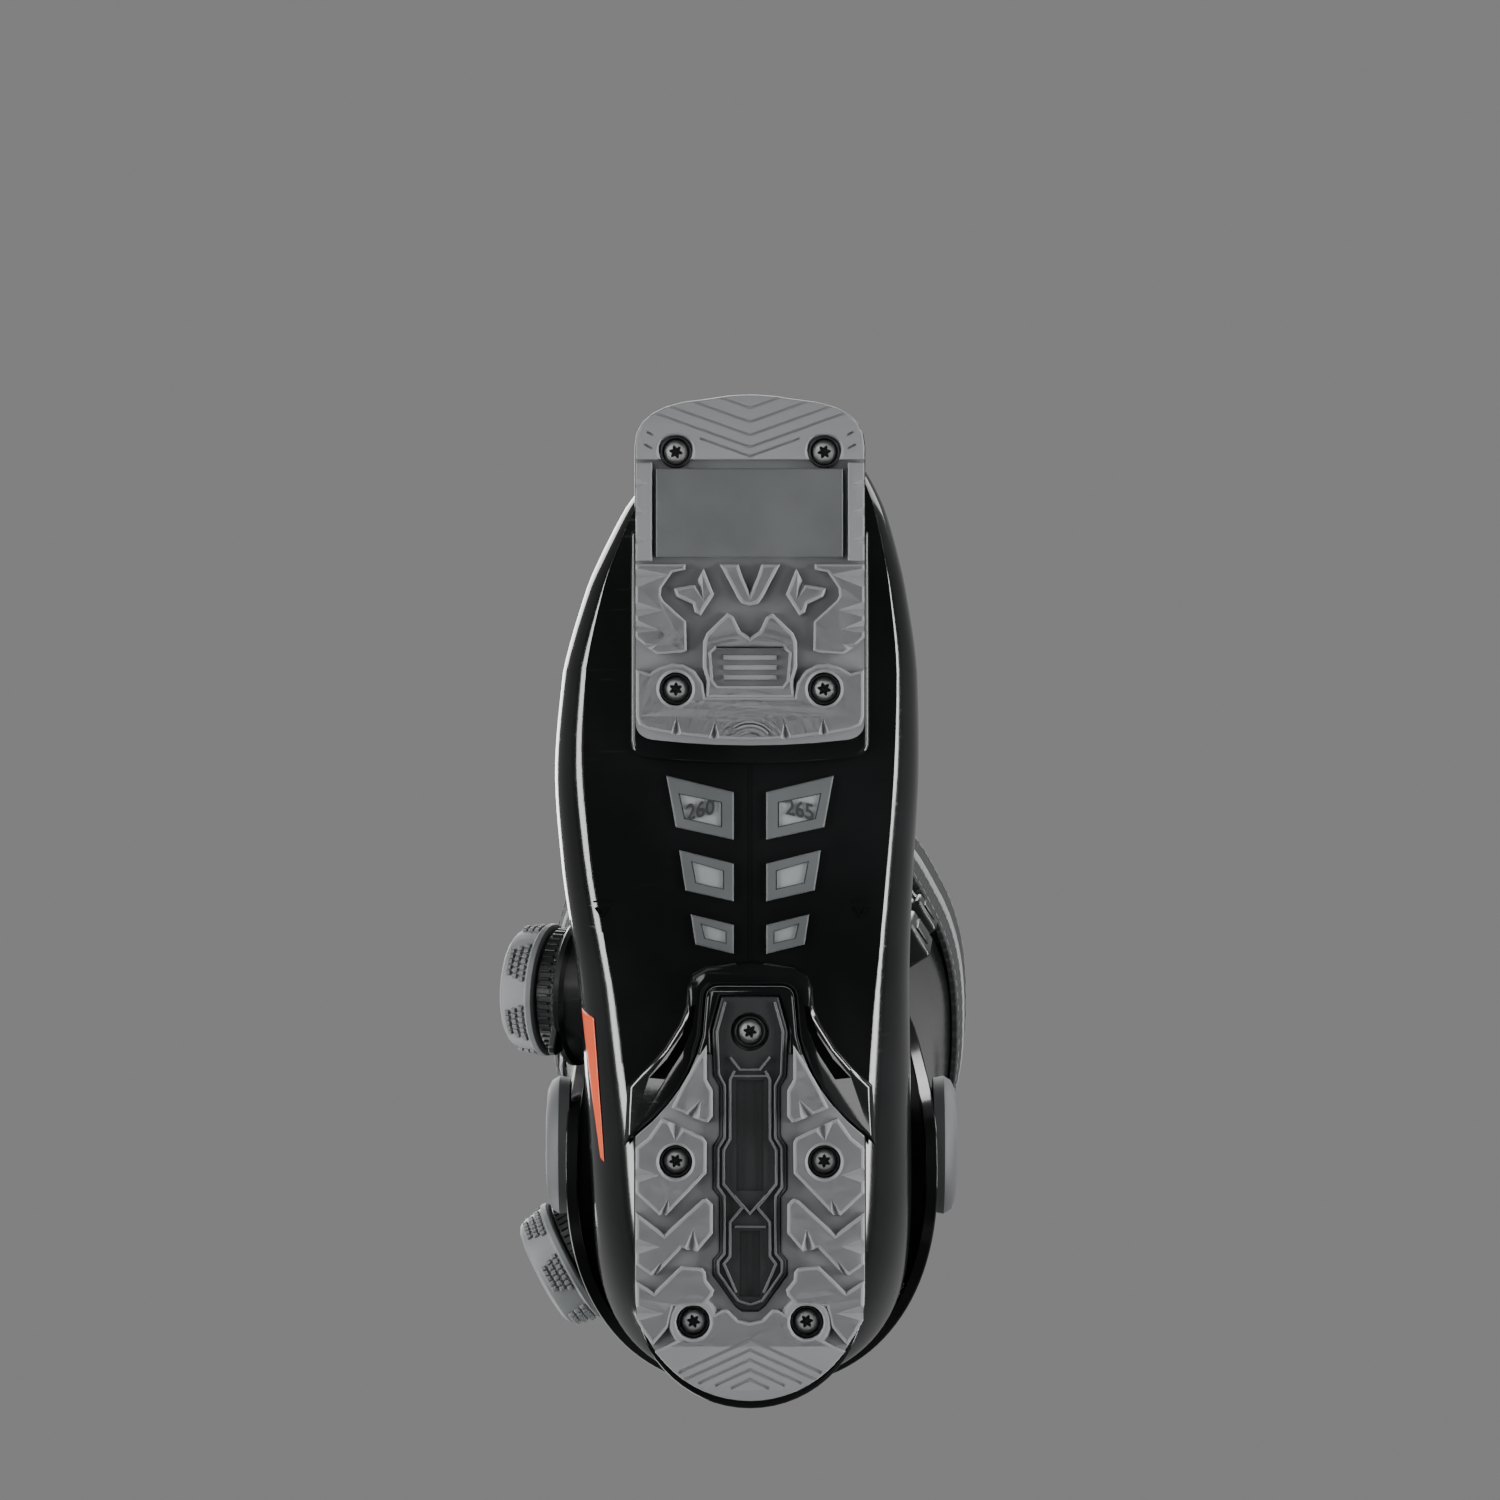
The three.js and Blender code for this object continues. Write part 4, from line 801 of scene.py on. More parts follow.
class Curve:
    """A smooth line through points, with the spacing of the points taken into account."""

    def __init__(self, points: Sequence[Sequence[float]]) -> None:
        """Keep the points, with one more past each end."""
        inner = [Vector(p) for p in points]
        self.points = [2 * inner[0] - inner[1], *inner, 2 * inner[-1] - inner[-2]]

    def at(self, share: float) -> Vector:
        """The point at a share of the way, counted in whole spans."""
        spans = len(self.points) - 3
        place = min(max(share, 0.0), 1.0) * spans
        i = min(int(place), spans - 1)
        t = place - i
        p = self.points[i : i + 4]
        d = [max((b - a).length, 1e-6) ** 0.5 for a, b in zip(p, p[1:])]
        out = ((p[1] - p[0]) / d[0] - (p[2] - p[0]) / (d[0] + d[1]) + (p[2] - p[1]) / d[1]) * d[1]
        back = ((p[2] - p[1]) / d[1] - (p[3] - p[1]) / (d[1] + d[2]) + (p[3] - p[2]) / d[2]) * d[1]
        square = -3 * p[1] + 3 * p[2] - 2 * out - back
        cube = 2 * p[1] - 2 * p[2] + out + back
        return p[1] + out * t + square * t * t + cube * t**3


def smooth(x: float) -> float:
    """0 below 0, 1 above 1, smooth between."""
    t = min(1.0, max(0.0, x))
    return t * t * (3 - 2 * t)


@dataclass
class FootForm:
    """The lower shell's outside: sections that fan round from the toe, under the instep, to the ankle.

    Each station holds its bottom and its top, each as y and z, its lateral and medial half widths, and how square its
    bottom is.
    """

    stations: tuple[tuple[Point2, Point2, float, float, float], ...] = (
        ((-141.5, 9), (-140.5, 32), 13, 17, 3),
        ((-138.5, 7), (-138, 46), 20.5, 26, 3.4),
        ((-131, 7), (-131, 58), 28.5, 34.5, 4),
        ((-119, 7), (-118, 68), 38, 41, 4),
        ((-97, 7), (-96, 79), 49, 47, 4),
        ((-70, 7), (-67, 90), 57, 51, 4),
        ((-40, 7), (-37, 103), 59.5, 51.5, 4),
        ((-8, 7), (-12, 117), 57.5, 50, 4),
        ((30, 7), (4, 132), 53, 49, 3.6),
        ((80, 7), (13, 145), 50.5, 49.5, 3),
        ((126, 10), (18, 154), 49, 50, 2.6),
        ((146.5, 33), (21, 160), 48.5, 50, 2.4),
        ((149, 64), (22, 164), 48, 49.5, 2.4),
        ((147, 94), (22, 167), 48.5, 49.5, 2.4),
        ((141, 115), (21, 169), 49, 49.5, 2.4),
        ((133, 134), (20, 170), 49, 49.5, 2.4),
    )
    belly: float = 0.38
    top_power: float = 2.3
    bottoms: Curve = field(init=False)
    tops: Curve = field(init=False)
    widths: Curve = field(init=False)

    def __post_init__(self) -> None:
        """Make the three lines that the stations lie on."""
        self.bottoms = Curve([(0, *s[0]) for s in self.stations])
        self.tops = Curve([(0, *s[1]) for s in self.stations])
        self.widths = Curve([s[2:] for s in self.stations])

    def point(self, along: float, angle: float, inset: float = 0.0) -> Vector:
        """A point on the form.

        Args:
            along: 0 at the toe and 1 at the ankle.
            angle: in degrees, 0 at the medial side, 90 at the top and 180 at the lateral side.
            inset: millimetres inside the form.

        Returns:
            The point.
        """
        low, high = self.bottoms.at(along), self.tops.at(along)
        lateral, medial, square = self.widths.at(along)
        up = (high - low).normalized()
        low, high = low + up * inset, high - up * inset
        c, s = math.cos(math.radians(angle)), math.sin(math.radians(angle))
        power = square if s < 0 else self.top_power
        half = 1 - self.belly if s > 0 else -self.belly
        rise = self.belly + half * abs(s) ** (2 / power)
        side = medial - inset if c > 0 else inset - lateral
        point = low.lerp(high, rise)
        point.x = side * abs(c) ** (2 / power)
        point.y += inset * max(0.0, 1 - 5 * along)
        return point

    def out(self, along: float, angle: float) -> Vector:
        """The direction straight out of the form."""
        return (self.point(along, angle, -6) - self.point(along, angle)).normalized()


@dataclass
class LegForm:
    """The cuff's outside: level rings, wider towards the calf and leaning forward.

    Each row is a height, the ring's centre in y, its half depth, and its lateral and medial half widths.
    """

    rows: tuple[tuple[float, float, float, float, float], ...] = (
        (52, 83, 71.5, 57, 58),
        (100, 83, 71.5, 58, 59),
        (148, 74, 70, 58, 60),
        (196, 62, 68, 59, 62),
        (244, 51, 69, 62, 66.5),
        (292, 40, 71.5, 65.5, 71.5),
        (340, 29, 74, 68, 74),
    )
    power: float = 2.4
    depths: Curve = field(init=False)
    spans: Curve = field(init=False)

    def __post_init__(self) -> None:
        """Make the two lines that the rows lie on."""
        self.depths = Curve([(r[1], r[2], r[0]) for r in self.rows])
        self.spans = Curve([(r[3], r[4], r[0]) for r in self.rows])

    def point(self, z: float, angle: float, inset: float = 0.0) -> Vector:
        """A point on the form.

        Args:
            z: the height.
            angle: in degrees, 0 at the front, 90 at the lateral side, 180 at the back and 270 at the medial side.
            inset: millimetres inside the form.

        Returns:
            The point.
        """
        share = (z - self.rows[0][0]) / (self.rows[-1][0] - self.rows[0][0])
        centre, depth, _ = self.depths.at(share)
        lateral, medial, _ = self.spans.at(share)
        c, s = math.cos(math.radians(angle)), math.sin(math.radians(angle))
        side = (lateral if s > 0 else medial) - inset
        x = -math.copysign(side * abs(s) ** (2 / self.power), s)
        y = centre - math.copysign((depth - inset) * abs(c) ** (2 / self.power), c)
        return Vector((x, y, z))

    def out(self, z: float, angle: float) -> Vector:
        """The direction straight out of the form."""
        across = self.point(z, angle + 2) - self.point(z, angle - 2)
        upward = self.point(z + 4, angle) - self.point(z - 4, angle)
        out = across.cross(upward).normalized()
        return out if out.dot(self.point(z, angle) - Vector((0, 60, z))) > 0 else -out


FOOT = FootForm()
LEG = LegForm()


def along_line(table: Sequence[Point2], x: float) -> float:
    """A height read off a smooth line through points sorted by x."""
    if x <= table[0][0]:
        return table[0][1]
    for (x0, z0), (x1, z1) in zip(table, table[1:]):
        if x <= x1:
            return z0 + (z1 - z0) * (x - x0) / (x1 - x0)
    return table[-1][1]


# ---- the toe and heel plates -------------------------------------------------------------------------------


def toe_outline(grow: float, end: float) -> Outline:
    """The toe plate's plan, grown by a margin, from the toe end to a line across the foot."""
    half = HALF_SOLE + grow
    tip = TOE_END - grow
    nose, turn = 62.0, 21.0
    spread = math.degrees(math.asin((half - turn) / nose))
    points = [(-half, end - 7)]
    points += corner((-half, tip + 15.5), (-half, tip + 3), (-half + turn, tip + 1.4))
    points += arc((0, tip + nose), nose, -90 - spread, -90 + spread)[1:-1]
    points += corner((half - turn, tip + 1.4), (half, tip + 3), (half, tip + 15.5))
    points += corner((half, end - 7), (half, end - 2.6), (half - 5, end - 1.7))
    points += corner((half - 5, end - 1.7), (0, end + 1.7), (-half + 5, end - 1.7))[1:-1]
    points += corner((-half + 5, end - 1.7), (-half, end - 2.6), (-half, end - 7))[:-1]
    return points


def heel_outline(grow: float, rear: float = 0.0) -> Outline:
    """The heel plate's plan, grown by a margin, with its round end drawn in by rear."""
    half = HALF_SOLE + grow
    front = HEEL_END - 127
    points = arc((0, HEEL_END + grow - half - rear), half, 0, 180, 30)
    points += corner((-half, 70.9), (-18 - grow, 57.4), (-14.2 - grow, 40.4))
    points += corner((-13.2 - grow, front + 3 - grow), (-12.6, front - grow), (-9, front - grow))
    points += corner((9, front - grow), (12.6, front - grow), (13.2 + grow, front + 3 - grow))
    points += corner((14.2 + grow, 40.4), (18 + grow, 57.4), (half, 70.9))
    return points


def heel_front(grow: float, end: float) -> Outline:
    """The front of the heel plate's plan, as far back as end, from its outer side round to its inner side."""
    points = [point for point in heel_outline(grow) if point[1] < end]
    return sorted(points, key=lambda point: math.atan2(point[0], 60 - point[1]))


@dataclass
class SoleScrews:
    """The countersunk screws that hold a plate, each ringed by a black cup that paints the shade of its recess."""

    name: str
    places: tuple[Point2, ...]
    seat: float
    head: float = 3.7
    cup: float = 5.0

    def head_mesh(self) -> Mesh:
        """A domed head with a six-lobed recess."""
        r, z = self.head, self.seat - 0.3
        bm = lathe([(0, z - 2.5), (r - 1.3, z - 2.45), (r - 0.45, z - 2.0), (r, z - 1.3), (r, z), (0, z)], 36)
        return carve(bm, prism(self.star(1.72), z - 4, z - 0.5), frustum((0, 0), (2.35, 2.9), z - 2.2, z - 2.8, 24))

    def star(self, size: float) -> Outline:
        """The six-lobed outline of the recess."""
        outline = []
        for i in range(24):
            reach, turn = size * (1 + 0.27 * math.cos(6 * math.tau * i / 24)), math.tau * i / 24
            outline.append((reach * math.cos(turn), reach * math.sin(turn)))
        return outline

    def build(self) -> None:
        """Make every screw and its cup, and the dark floor of its recess; the cup and the dark floor are painted shade.
        """
        z = self.seat - 0.3
        r, top, low = self.cup, self.seat + 0.1, self.seat - 4.2
        rim = [(r - 0.9, top), (r - 0.9, low + 1.0), (r - 0.5, low + 0.3), (r - 0.1, low + 0.5), (r - 0.1, top)]
        for i, place in enumerate(self.places):
            node = f"{self.name}_screw_{i + 1}"
            tightened = Matrix.Rotation(0.7 * i + 0.2, 4, "Z")
            # The floor of the star recess is near-black steel: painted shade in the recess.
            point = lathe([(0, z - 2.3), (0.75, z - 1.5), (0, z - 1.4)], 18)
            floor = moved(gather([prism(self.star(1.7), z - 1.5, z - 0.6), point]), tightened)
            Piece(f"{node}_recess", RECESS_SHADE_STEEL, Body.LOWER, "steel", sharp=30).settle(shifted(floor, place))
            head = Piece(f"{node}_head", STEEL, Body.LOWER, "steel", (node,), bevel=0.12, sharp=30)
            head.settle(shifted(moved(self.head_mesh(), tightened), place))
            # The black cup lines the recess round the head: painted shade where the recess falls into shadow.
            cup = Piece(f"{self.name}_screw_cup_{i + 1}", HOUSING, Body.LOWER, "housing")
            cup.settle(shifted(lathe(rim, 36), place))


@dataclass
class ToeSole:
    """The walking plate under the ball of the foot: a base with lugs, a smooth slide pad and a chevron tip."""

    tread: float = 3.6
    top: float = 10.7
    end: float = -47.0
    screws: tuple[Point2, ...] = ((-22.3, -135.2), (22.3, -135.2), (-22.3, -63.9), (22.3, -63.9))
    seat: float = 6.4
    groove: float = 0.6
    rise: tuple[Point2, ...] = ((-156, 6.6), (-152.4, 5.4), (-143.4, 3.4), (-132.4, 1.5), (-119.4, 0.3), (-112, 0))
    side_lugs: tuple[Outline, ...] = (
        [
            (-34.3, -101.4), (-19.4, -101.4), (-19.4, -99.7), (-23.4, -98.9), (-26.6, -94.2), (-26.8, -91.9),
            (-26.1, -90.5), (-19.2, -84.2), (-19, -75.5), (-20.3, -74.9), (-28, -74.3), (-30.6, -76.2), (-34.3, -79.4),
        ],
        [
            (-13.9, -100.1), (-10.8, -92.3), (-14.8, -86), (-16.5, -86.9), (-17.2, -89.4), (-22.6, -91.9),
            (-22.8, -94.2),
            (-16.3, -95.3),
        ],
    )
    notches: tuple[tuple[Point2, Point2, Point2], ...] = (
        ((-24.2, -98.2), (-34.3, -100.2), (-34.3, -94.2)),
        ((-26.4, -87.5), (-34.3, -90.2), (-34.3, -85.4)),
        ((-27.2, -81.6), (-34.3, -84.8), (-34.3, -80.8)),
        ((-27.8, -77.4), (-31.4, -73.6), (-34.3, -77.6)),
        ((-13.9, -90.2), (-17.6, -95.6), (-14.4, -98.6)),
        ((-19.6, -88.2), (-22.4, -94.6), (-24.4, -92.2)),
        ((-21.9, -55.6), (-24.0, -50.2), (-20.4, -49.8)),
        ((-10.4, -54.2), (-12.6, -49.2), (-9.0, -48.8)),
        ((-30.4, -108.6), (-34.3, -110.4), (-34.3, -106.8)),
        ((-30.4, -117.2), (-34.3, -119), (-34.3, -115.4)),
        ((-30.4, -125.6), (-34.3, -127.4), (-34.3, -123.8)),
    )
    centre_lug: Outline = field(
        default_factory=lambda: [
            (-9.1, -101.4), (-3.5, -101.4), (-2.2, -97.6), (0, -92.9), (2.2, -97.6), (3.5, -101.4), (9.1, -101.4),
            (3.7, -91.2), (2.4, -89.5), (0, -88.9), (-2.4, -89.5), (-3.7, -91.2),
        ]
    )
    shield: Outline = field(
        default_factory=lambda: [
            (-13.6, -61), (-13.1, -66.3), (-14.2, -70.5), (-14.1, -78.1), (-13.1, -80.6), (-6.8, -86.7), (-4.9, -85.6),
            (-2.9, -81.4), (0, -79.5), (2.9, -81.4), (4.9, -85.6), (6.8, -86.7), (13.1, -80.6), (14.1, -78.1),
            (14.2, -70.5), (13.1, -66.3), (13.6, -61),
        ]
    )
    badge: Outline = field(
        default_factory=lambda: [
            (-10.3, -76.4), (10.3, -76.4), (12.1, -74.8), (11.4, -66.2), (9.8, -64.4), (-9.8, -64.4), (-11.4, -66.2),
            (-12.1, -74.8),
        ]
    )

    def band(self) -> Outline:
        """The flat band across the back."""
        left = [(-13.2, -61.6), (-14.0, -65.8), (-16.6, -69.4), (-19.8, -71.2), (-23.4, -71.6), (-27.2, -70.4)]
        left += [(-30.2, -68.6), (-34.2, -69.8), (-34.2, -55.6), (-33.2, -53), (-30.6, -51.7), (-23.4, -50.4)]
        left += [(-11.4, -49), (-4, -48.6)]
        return [*left, *mirrored(left)]

    def tip_lines(self) -> list[Outline]:
        """The chevron grooves at the tip."""
        lines = []
        for apex, reach in ((-148.4, 9), (-144.2, 19), (-140.2, 26), (-136.6, 29), (-133.8, 15)):
            lines.append(chevron(apex, reach, -0.36, 0.8))
        lines += both(
            [stroke([(-31, -141.2), (-29.2, -140.2)], 0.75), stroke([(-31.8, -137.4), (-29.4, -136.2)], 0.75)]
        )
        return lines

    def front(self) -> Outline:
        """The tip's plan, back to the slide pad."""
        return [point for point in toe_outline(-0.02, self.end) if point[1] < -136] + [(34.3, -132.9), (-34.3, -132.9)]

    def build(self) -> None:
        """Make the plate, its pad and its badge."""
        base = carve(prism(toe_outline(0, self.end), self.tread, self.top), recess(self.screws, self.seat))
        grooves = gather([prism(line, -2, self.groove) for line in self.tip_lines()])
        tip = carve(lug(self.front(), 0, self.tread + 2, 0.7), grooves, recess(self.screws[:2], self.seat))
        strip = [(-34.3, -131.9), (-29.4, -131.9), (-29.4, -102.4), (-34.3, -102.4)]
        blocks = [lug(outline, 0, self.tread + 1, 1.0) for outline in [*both(self.side_lugs), self.centre_lug]]
        blocks += [lug(outline, 0.3, self.tread + 1, 0.5) for outline in both([strip])]
        blocks.append(lug(self.band(), 0, self.tread + 1, 0.9))
        shield = carve(lug(self.shield, 0, self.tread + 1, 1.1), prism(self.badge, -2, 2.2))
        blocks = carve(gather(blocks), scoops(self.notches), recess(self.screws[2:], self.seat))
        parts = [rocker(bm, self.rise, self.top) for bm in (base, tip, blocks)] + [shield]
        piece = Piece("toe_sole_tread", SOLE, Body.LOWER, "sole_rubber", ("toe_sole",), sharp=24)
        piece.settle(gather(parts), recalculate=False)
        self.slide_pad()
        self.badge_plate()
        SoleScrews("toe", self.screws, self.seat).build()

    def slide_pad(self) -> None:
        """The smooth pad that slides on a binding, in a shallow frame."""
        pad = lug([(-28.2, -130.1), (27.9, -130.1), (27.9, -103.5), (-28.2, -103.5)], 0.25, self.tread + 0.5, 0.35)
        rocker(pad, self.rise, self.top)
        Piece("toe_slide_pad", SLIDE, Body.LOWER, "sole_rubber", sharp=20).settle(pad)

    def badge_plate(self) -> None:
        """A raised rim and a plain ribbed plate in the badge's recess."""
        lines = [stroke([(-8.2, y), (8.2, y)], 1.5) for y in (-73.4, -70.4, -67.4)]
        ribs = [lug(o, 0.9, 2.6, 0.3) for o in lines]
        rim = stroke([*self.badge, self.badge[0], self.badge[1]], 0.8)
        ribs.append(lug(rim, -0.25, 1.5, 0.2))
        Piece("toe_badge_ribs", SOLE, Body.LOWER, "sole_rubber", sharp=20).settle(gather(ribs))


@dataclass
class HeelSole:
    """The walking plate under the heel: lugs down each side, a chevron end and a black rubber insert in its middle."""

    tread: float = 3.6
    top: float = 12.7
    screws: tuple[Point2, ...] = ((0, 39), (-22.3, 78), (22.3, 78), (-17, 126.2), (17, 126.2))
    seat: float = 7.4
    groove: float = 0.4
    rise: tuple[Point2, ...] = ((133.4, 0), (140, 0.7), (147, 1.9), (154, 3.4))
    side_lugs: tuple[Outline, ...] = (
        [
            (-13, 43), (-13, 53.4), (-11.2, 56.6), (-11.2, 64.4), (-12.6, 66.2), (-14.2, 66), (-19.4, 63.6),
            (-23.6, 61.9), (-20.5, 55.5), (-16, 47.6),
        ],
        [
            (-26.4, 65), (-19, 68.3), (-14, 70.7), (-13, 72.1), (-13.1, 81.5), (-25.2, 94.1), (-27.2, 94.1),
            (-34.3, 87.4), (-34.3, 73.8), (-30.6, 70.9),
        ],
        [
            (-34.3, 93.3), (-25.7, 99.8), (-14.4, 89.4), (-13, 89), (-11.2, 90.8), (-11.2, 99.5), (-15.8, 104.9),
            (-18.6, 104.5), (-20.5, 103.9), (-28.4, 112.2), (-29.9, 112), (-34.3, 108.8),
        ],
        [
            (-34.3, 113.8), (-28.8, 117.2), (-20.7, 109.3), (-14.4, 109.9), (-13.3, 111.1), (-13.1, 113.6),
            (-10.8, 116.5), (-11.2, 118.1), (-14, 121.2), (-22.9, 121.6), (-24.4, 127.6), (-29.2, 133.1),
            (-31.6, 129.8), (-34.0, 125.6),
        ],
    )
    notches: tuple[tuple[Point2, Point2, Point2], ...] = (
        ((-14.6, 59.2), (-15.4, 66.4), (-20.4, 64.0)),
        ((-22.4, 71.8), (-25.2, 65.6), (-19.2, 68.2)),
        ((-27.2, 82), (-34.3, 84.4), (-34.3, 79.4)),
        ((-17, 98), (-14.8, 105.9), (-20.2, 104.8)),
        ((-27.2, 103.4), (-34.3, 106), (-34.3, 100.8)),
        ((-25.8, 123.4), (-34.3, 126), (-34.3, 120.8)),
        ((-24.4, 89.2), (-28.6, 94.8), (-24.2, 95.2)),
        ((-26, 107.4), (-31, 112.4), (-27, 113.2)),
    )
    rear_lug: Outline = field(
        default_factory=lambda: [
            (-28.6, 135), (-20.5, 130.9), (-12.4, 124.6), (-8.3, 122.4), (-6.8, 122.4), (-3.6, 125.5), (0, 126.3),
            (3.6, 125.5),
            (6.8, 122.4), (8.3, 122.4), (12.4, 124.6), (20.5, 130.9), (28.6, 135),
        ]
    )
    insert_half: Outline = field(
        default_factory=lambda: [
            (-8.6, 28.5), (-11.4, 38.8), (-10.9, 52.4), (-9, 55.7), (-9, 70.3), (-11, 73.4), (-11, 86.3), (-9.1, 88.8),
            (-9.1, 105.2), (-11, 107.4), (-11, 112), (-4.3, 121.4), (-2.4, 122.9),
        ]
    )

    def end_lines(self) -> list[Outline]:
        """The chevron grooves at the heel end."""
        lines = []
        for apex, reach in ((131.4, 21.5), (134.4, 20), (137.4, 15.5), (140.4, 10.5), (143.4, 5.8)):
            lines.append(chevron(apex, reach, 0.46, 1.0))
        return lines

    def build(self) -> None:
        """Make the plate and its insert."""
        insert = [*self.insert_half, *mirrored(self.insert_half)]
        pocket = [(x * 1.03, 76 + (y - 76) * 1.007) for x, y in insert]
        base = prism(heel_outline(0, 2.2), self.tread, self.top)
        base = carve(base, recess(self.screws, self.seat), prism(pocket, -2, 6.6))
        outline = [point for point in heel_outline(-0.1, 2.3) if point[1] > 137]
        grooves = gather([prism(line, -2, self.groove) for line in self.end_lines()])
        rear = lug([*outline, *self.rear_lug], 0, self.tread + 2, 0.8)
        rear = carve(rear, grooves, recess(self.screws[3:], self.seat))
        blocks = gather([lug(plan, 0, self.tread + 1, 0.95) for plan in both(self.side_lugs)])
        blocks = carve(blocks, scoops(self.notches), recess(self.screws[1:], self.seat))
        parts = [rocker(bm, self.rise, self.top) for bm in (base, rear, blocks)]
        boss = [(5.2, 5), (5.2, 0.5), (5.6, 0.1), (6.6, 0.1), (7.2, 0.4), (8.1, self.tread + 0.2), (8.1, 5)]
        parts += [shifted(lathe(boss, 40), place) for place in self.screws[3:]]
        piece = Piece("heel_sole_tread", SOLE, Body.LOWER, "sole_rubber", ("heel_sole",), sharp=24)
        piece.settle(gather(parts), recalculate=False)
        front = heel_front(-0.1, 46)
        inner = [(11.6, 45.8), (11.8, 38.8), (8.9, 28.2)]
        rim = lug([*front, *inner, *mirrored(inner)], 2.2, 6.4, 0.9)
        Piece("heel_sole_front_rim", SHELL, Body.LOWER, "sole_insert", sharp=30).settle(rim)
        self.insert(insert)
        SoleScrews("heel", self.screws, self.seat).build()

    def insert(self, outline: Outline) -> None:
        """The black insert: a textured strip with raised lines that run round two long hexagons."""
        front = prism([(-4.1, 53.5), (4.1, 53.5), (4.1, 86.8), (-4.1, 86.8)], 0, 3.1)
        rear = prism([(-3.1, 98.8), (3.1, 98.8), (3.1, 118.6), (-3.1, 118.6)], 0, 3.1)
        bm = carve(lug(outline, 2.3, 6.0, 0.6), frustum(self.screws[0], (5.8, 5.8), -2, 9, 36), front, rear)
        Piece("heel_insert_strip", INSERT, Body.LOWER, "sole_insert", ("heel_insert",), sharp=24).settle(bm)
        edge = [
            (-7.4, 30), (-9.9, 39), (-9.4, 51.8), (-7.6, 55.2), (-7.6, 70.8), (-9.6, 74), (-9.6, 85.6), (-7.7, 88.4),
        ]
        edge += [(-7.7, 105.6), (-9.6, 108), (-9.6, 111.4), (-3.6, 119.8), (0, 121)]
        inner = [
            (-4.6, 50.8), (-6, 53.4), (-6, 71.2), (-7.9, 74.6), (-7.9, 84.8), (-2.2, 91.8), (-6, 96.2), (-6, 106.4),
        ]
        inner += [(-7.8, 108.8), (-4.1, 117.4)]
        ribs = [stroke(line, 0.8) for line in (edge, mirrored(edge), inner, mirrored(inner))]
        ribs += [stroke([(-5.2, 52.3), (5.2, 52.3)], 0.7), stroke([(-4.8, 88.2), (0, 93.6), (4.8, 88.2)], 0.7)]
        ribs += [stroke([(-4.6, 97.6), (4.6, 97.6)], 0.7), stroke([(-6, 46.6), (-3, 50.4), (3, 50.4), (6, 46.6)], 0.7)]
        lines = gather([lug(o, 1.5, 3.0, 0.3) for o in ribs])
        # The ribs take the lighter rib rubber, which paints a highlight on them.
        Piece("heel_insert_ribs", INSERT_RIB_HIGHLIGHT, Body.LOWER, "sole_insert", sharp=20).settle(lines)


# ---- the lower shell ---------------------------------------------------------------------------------------


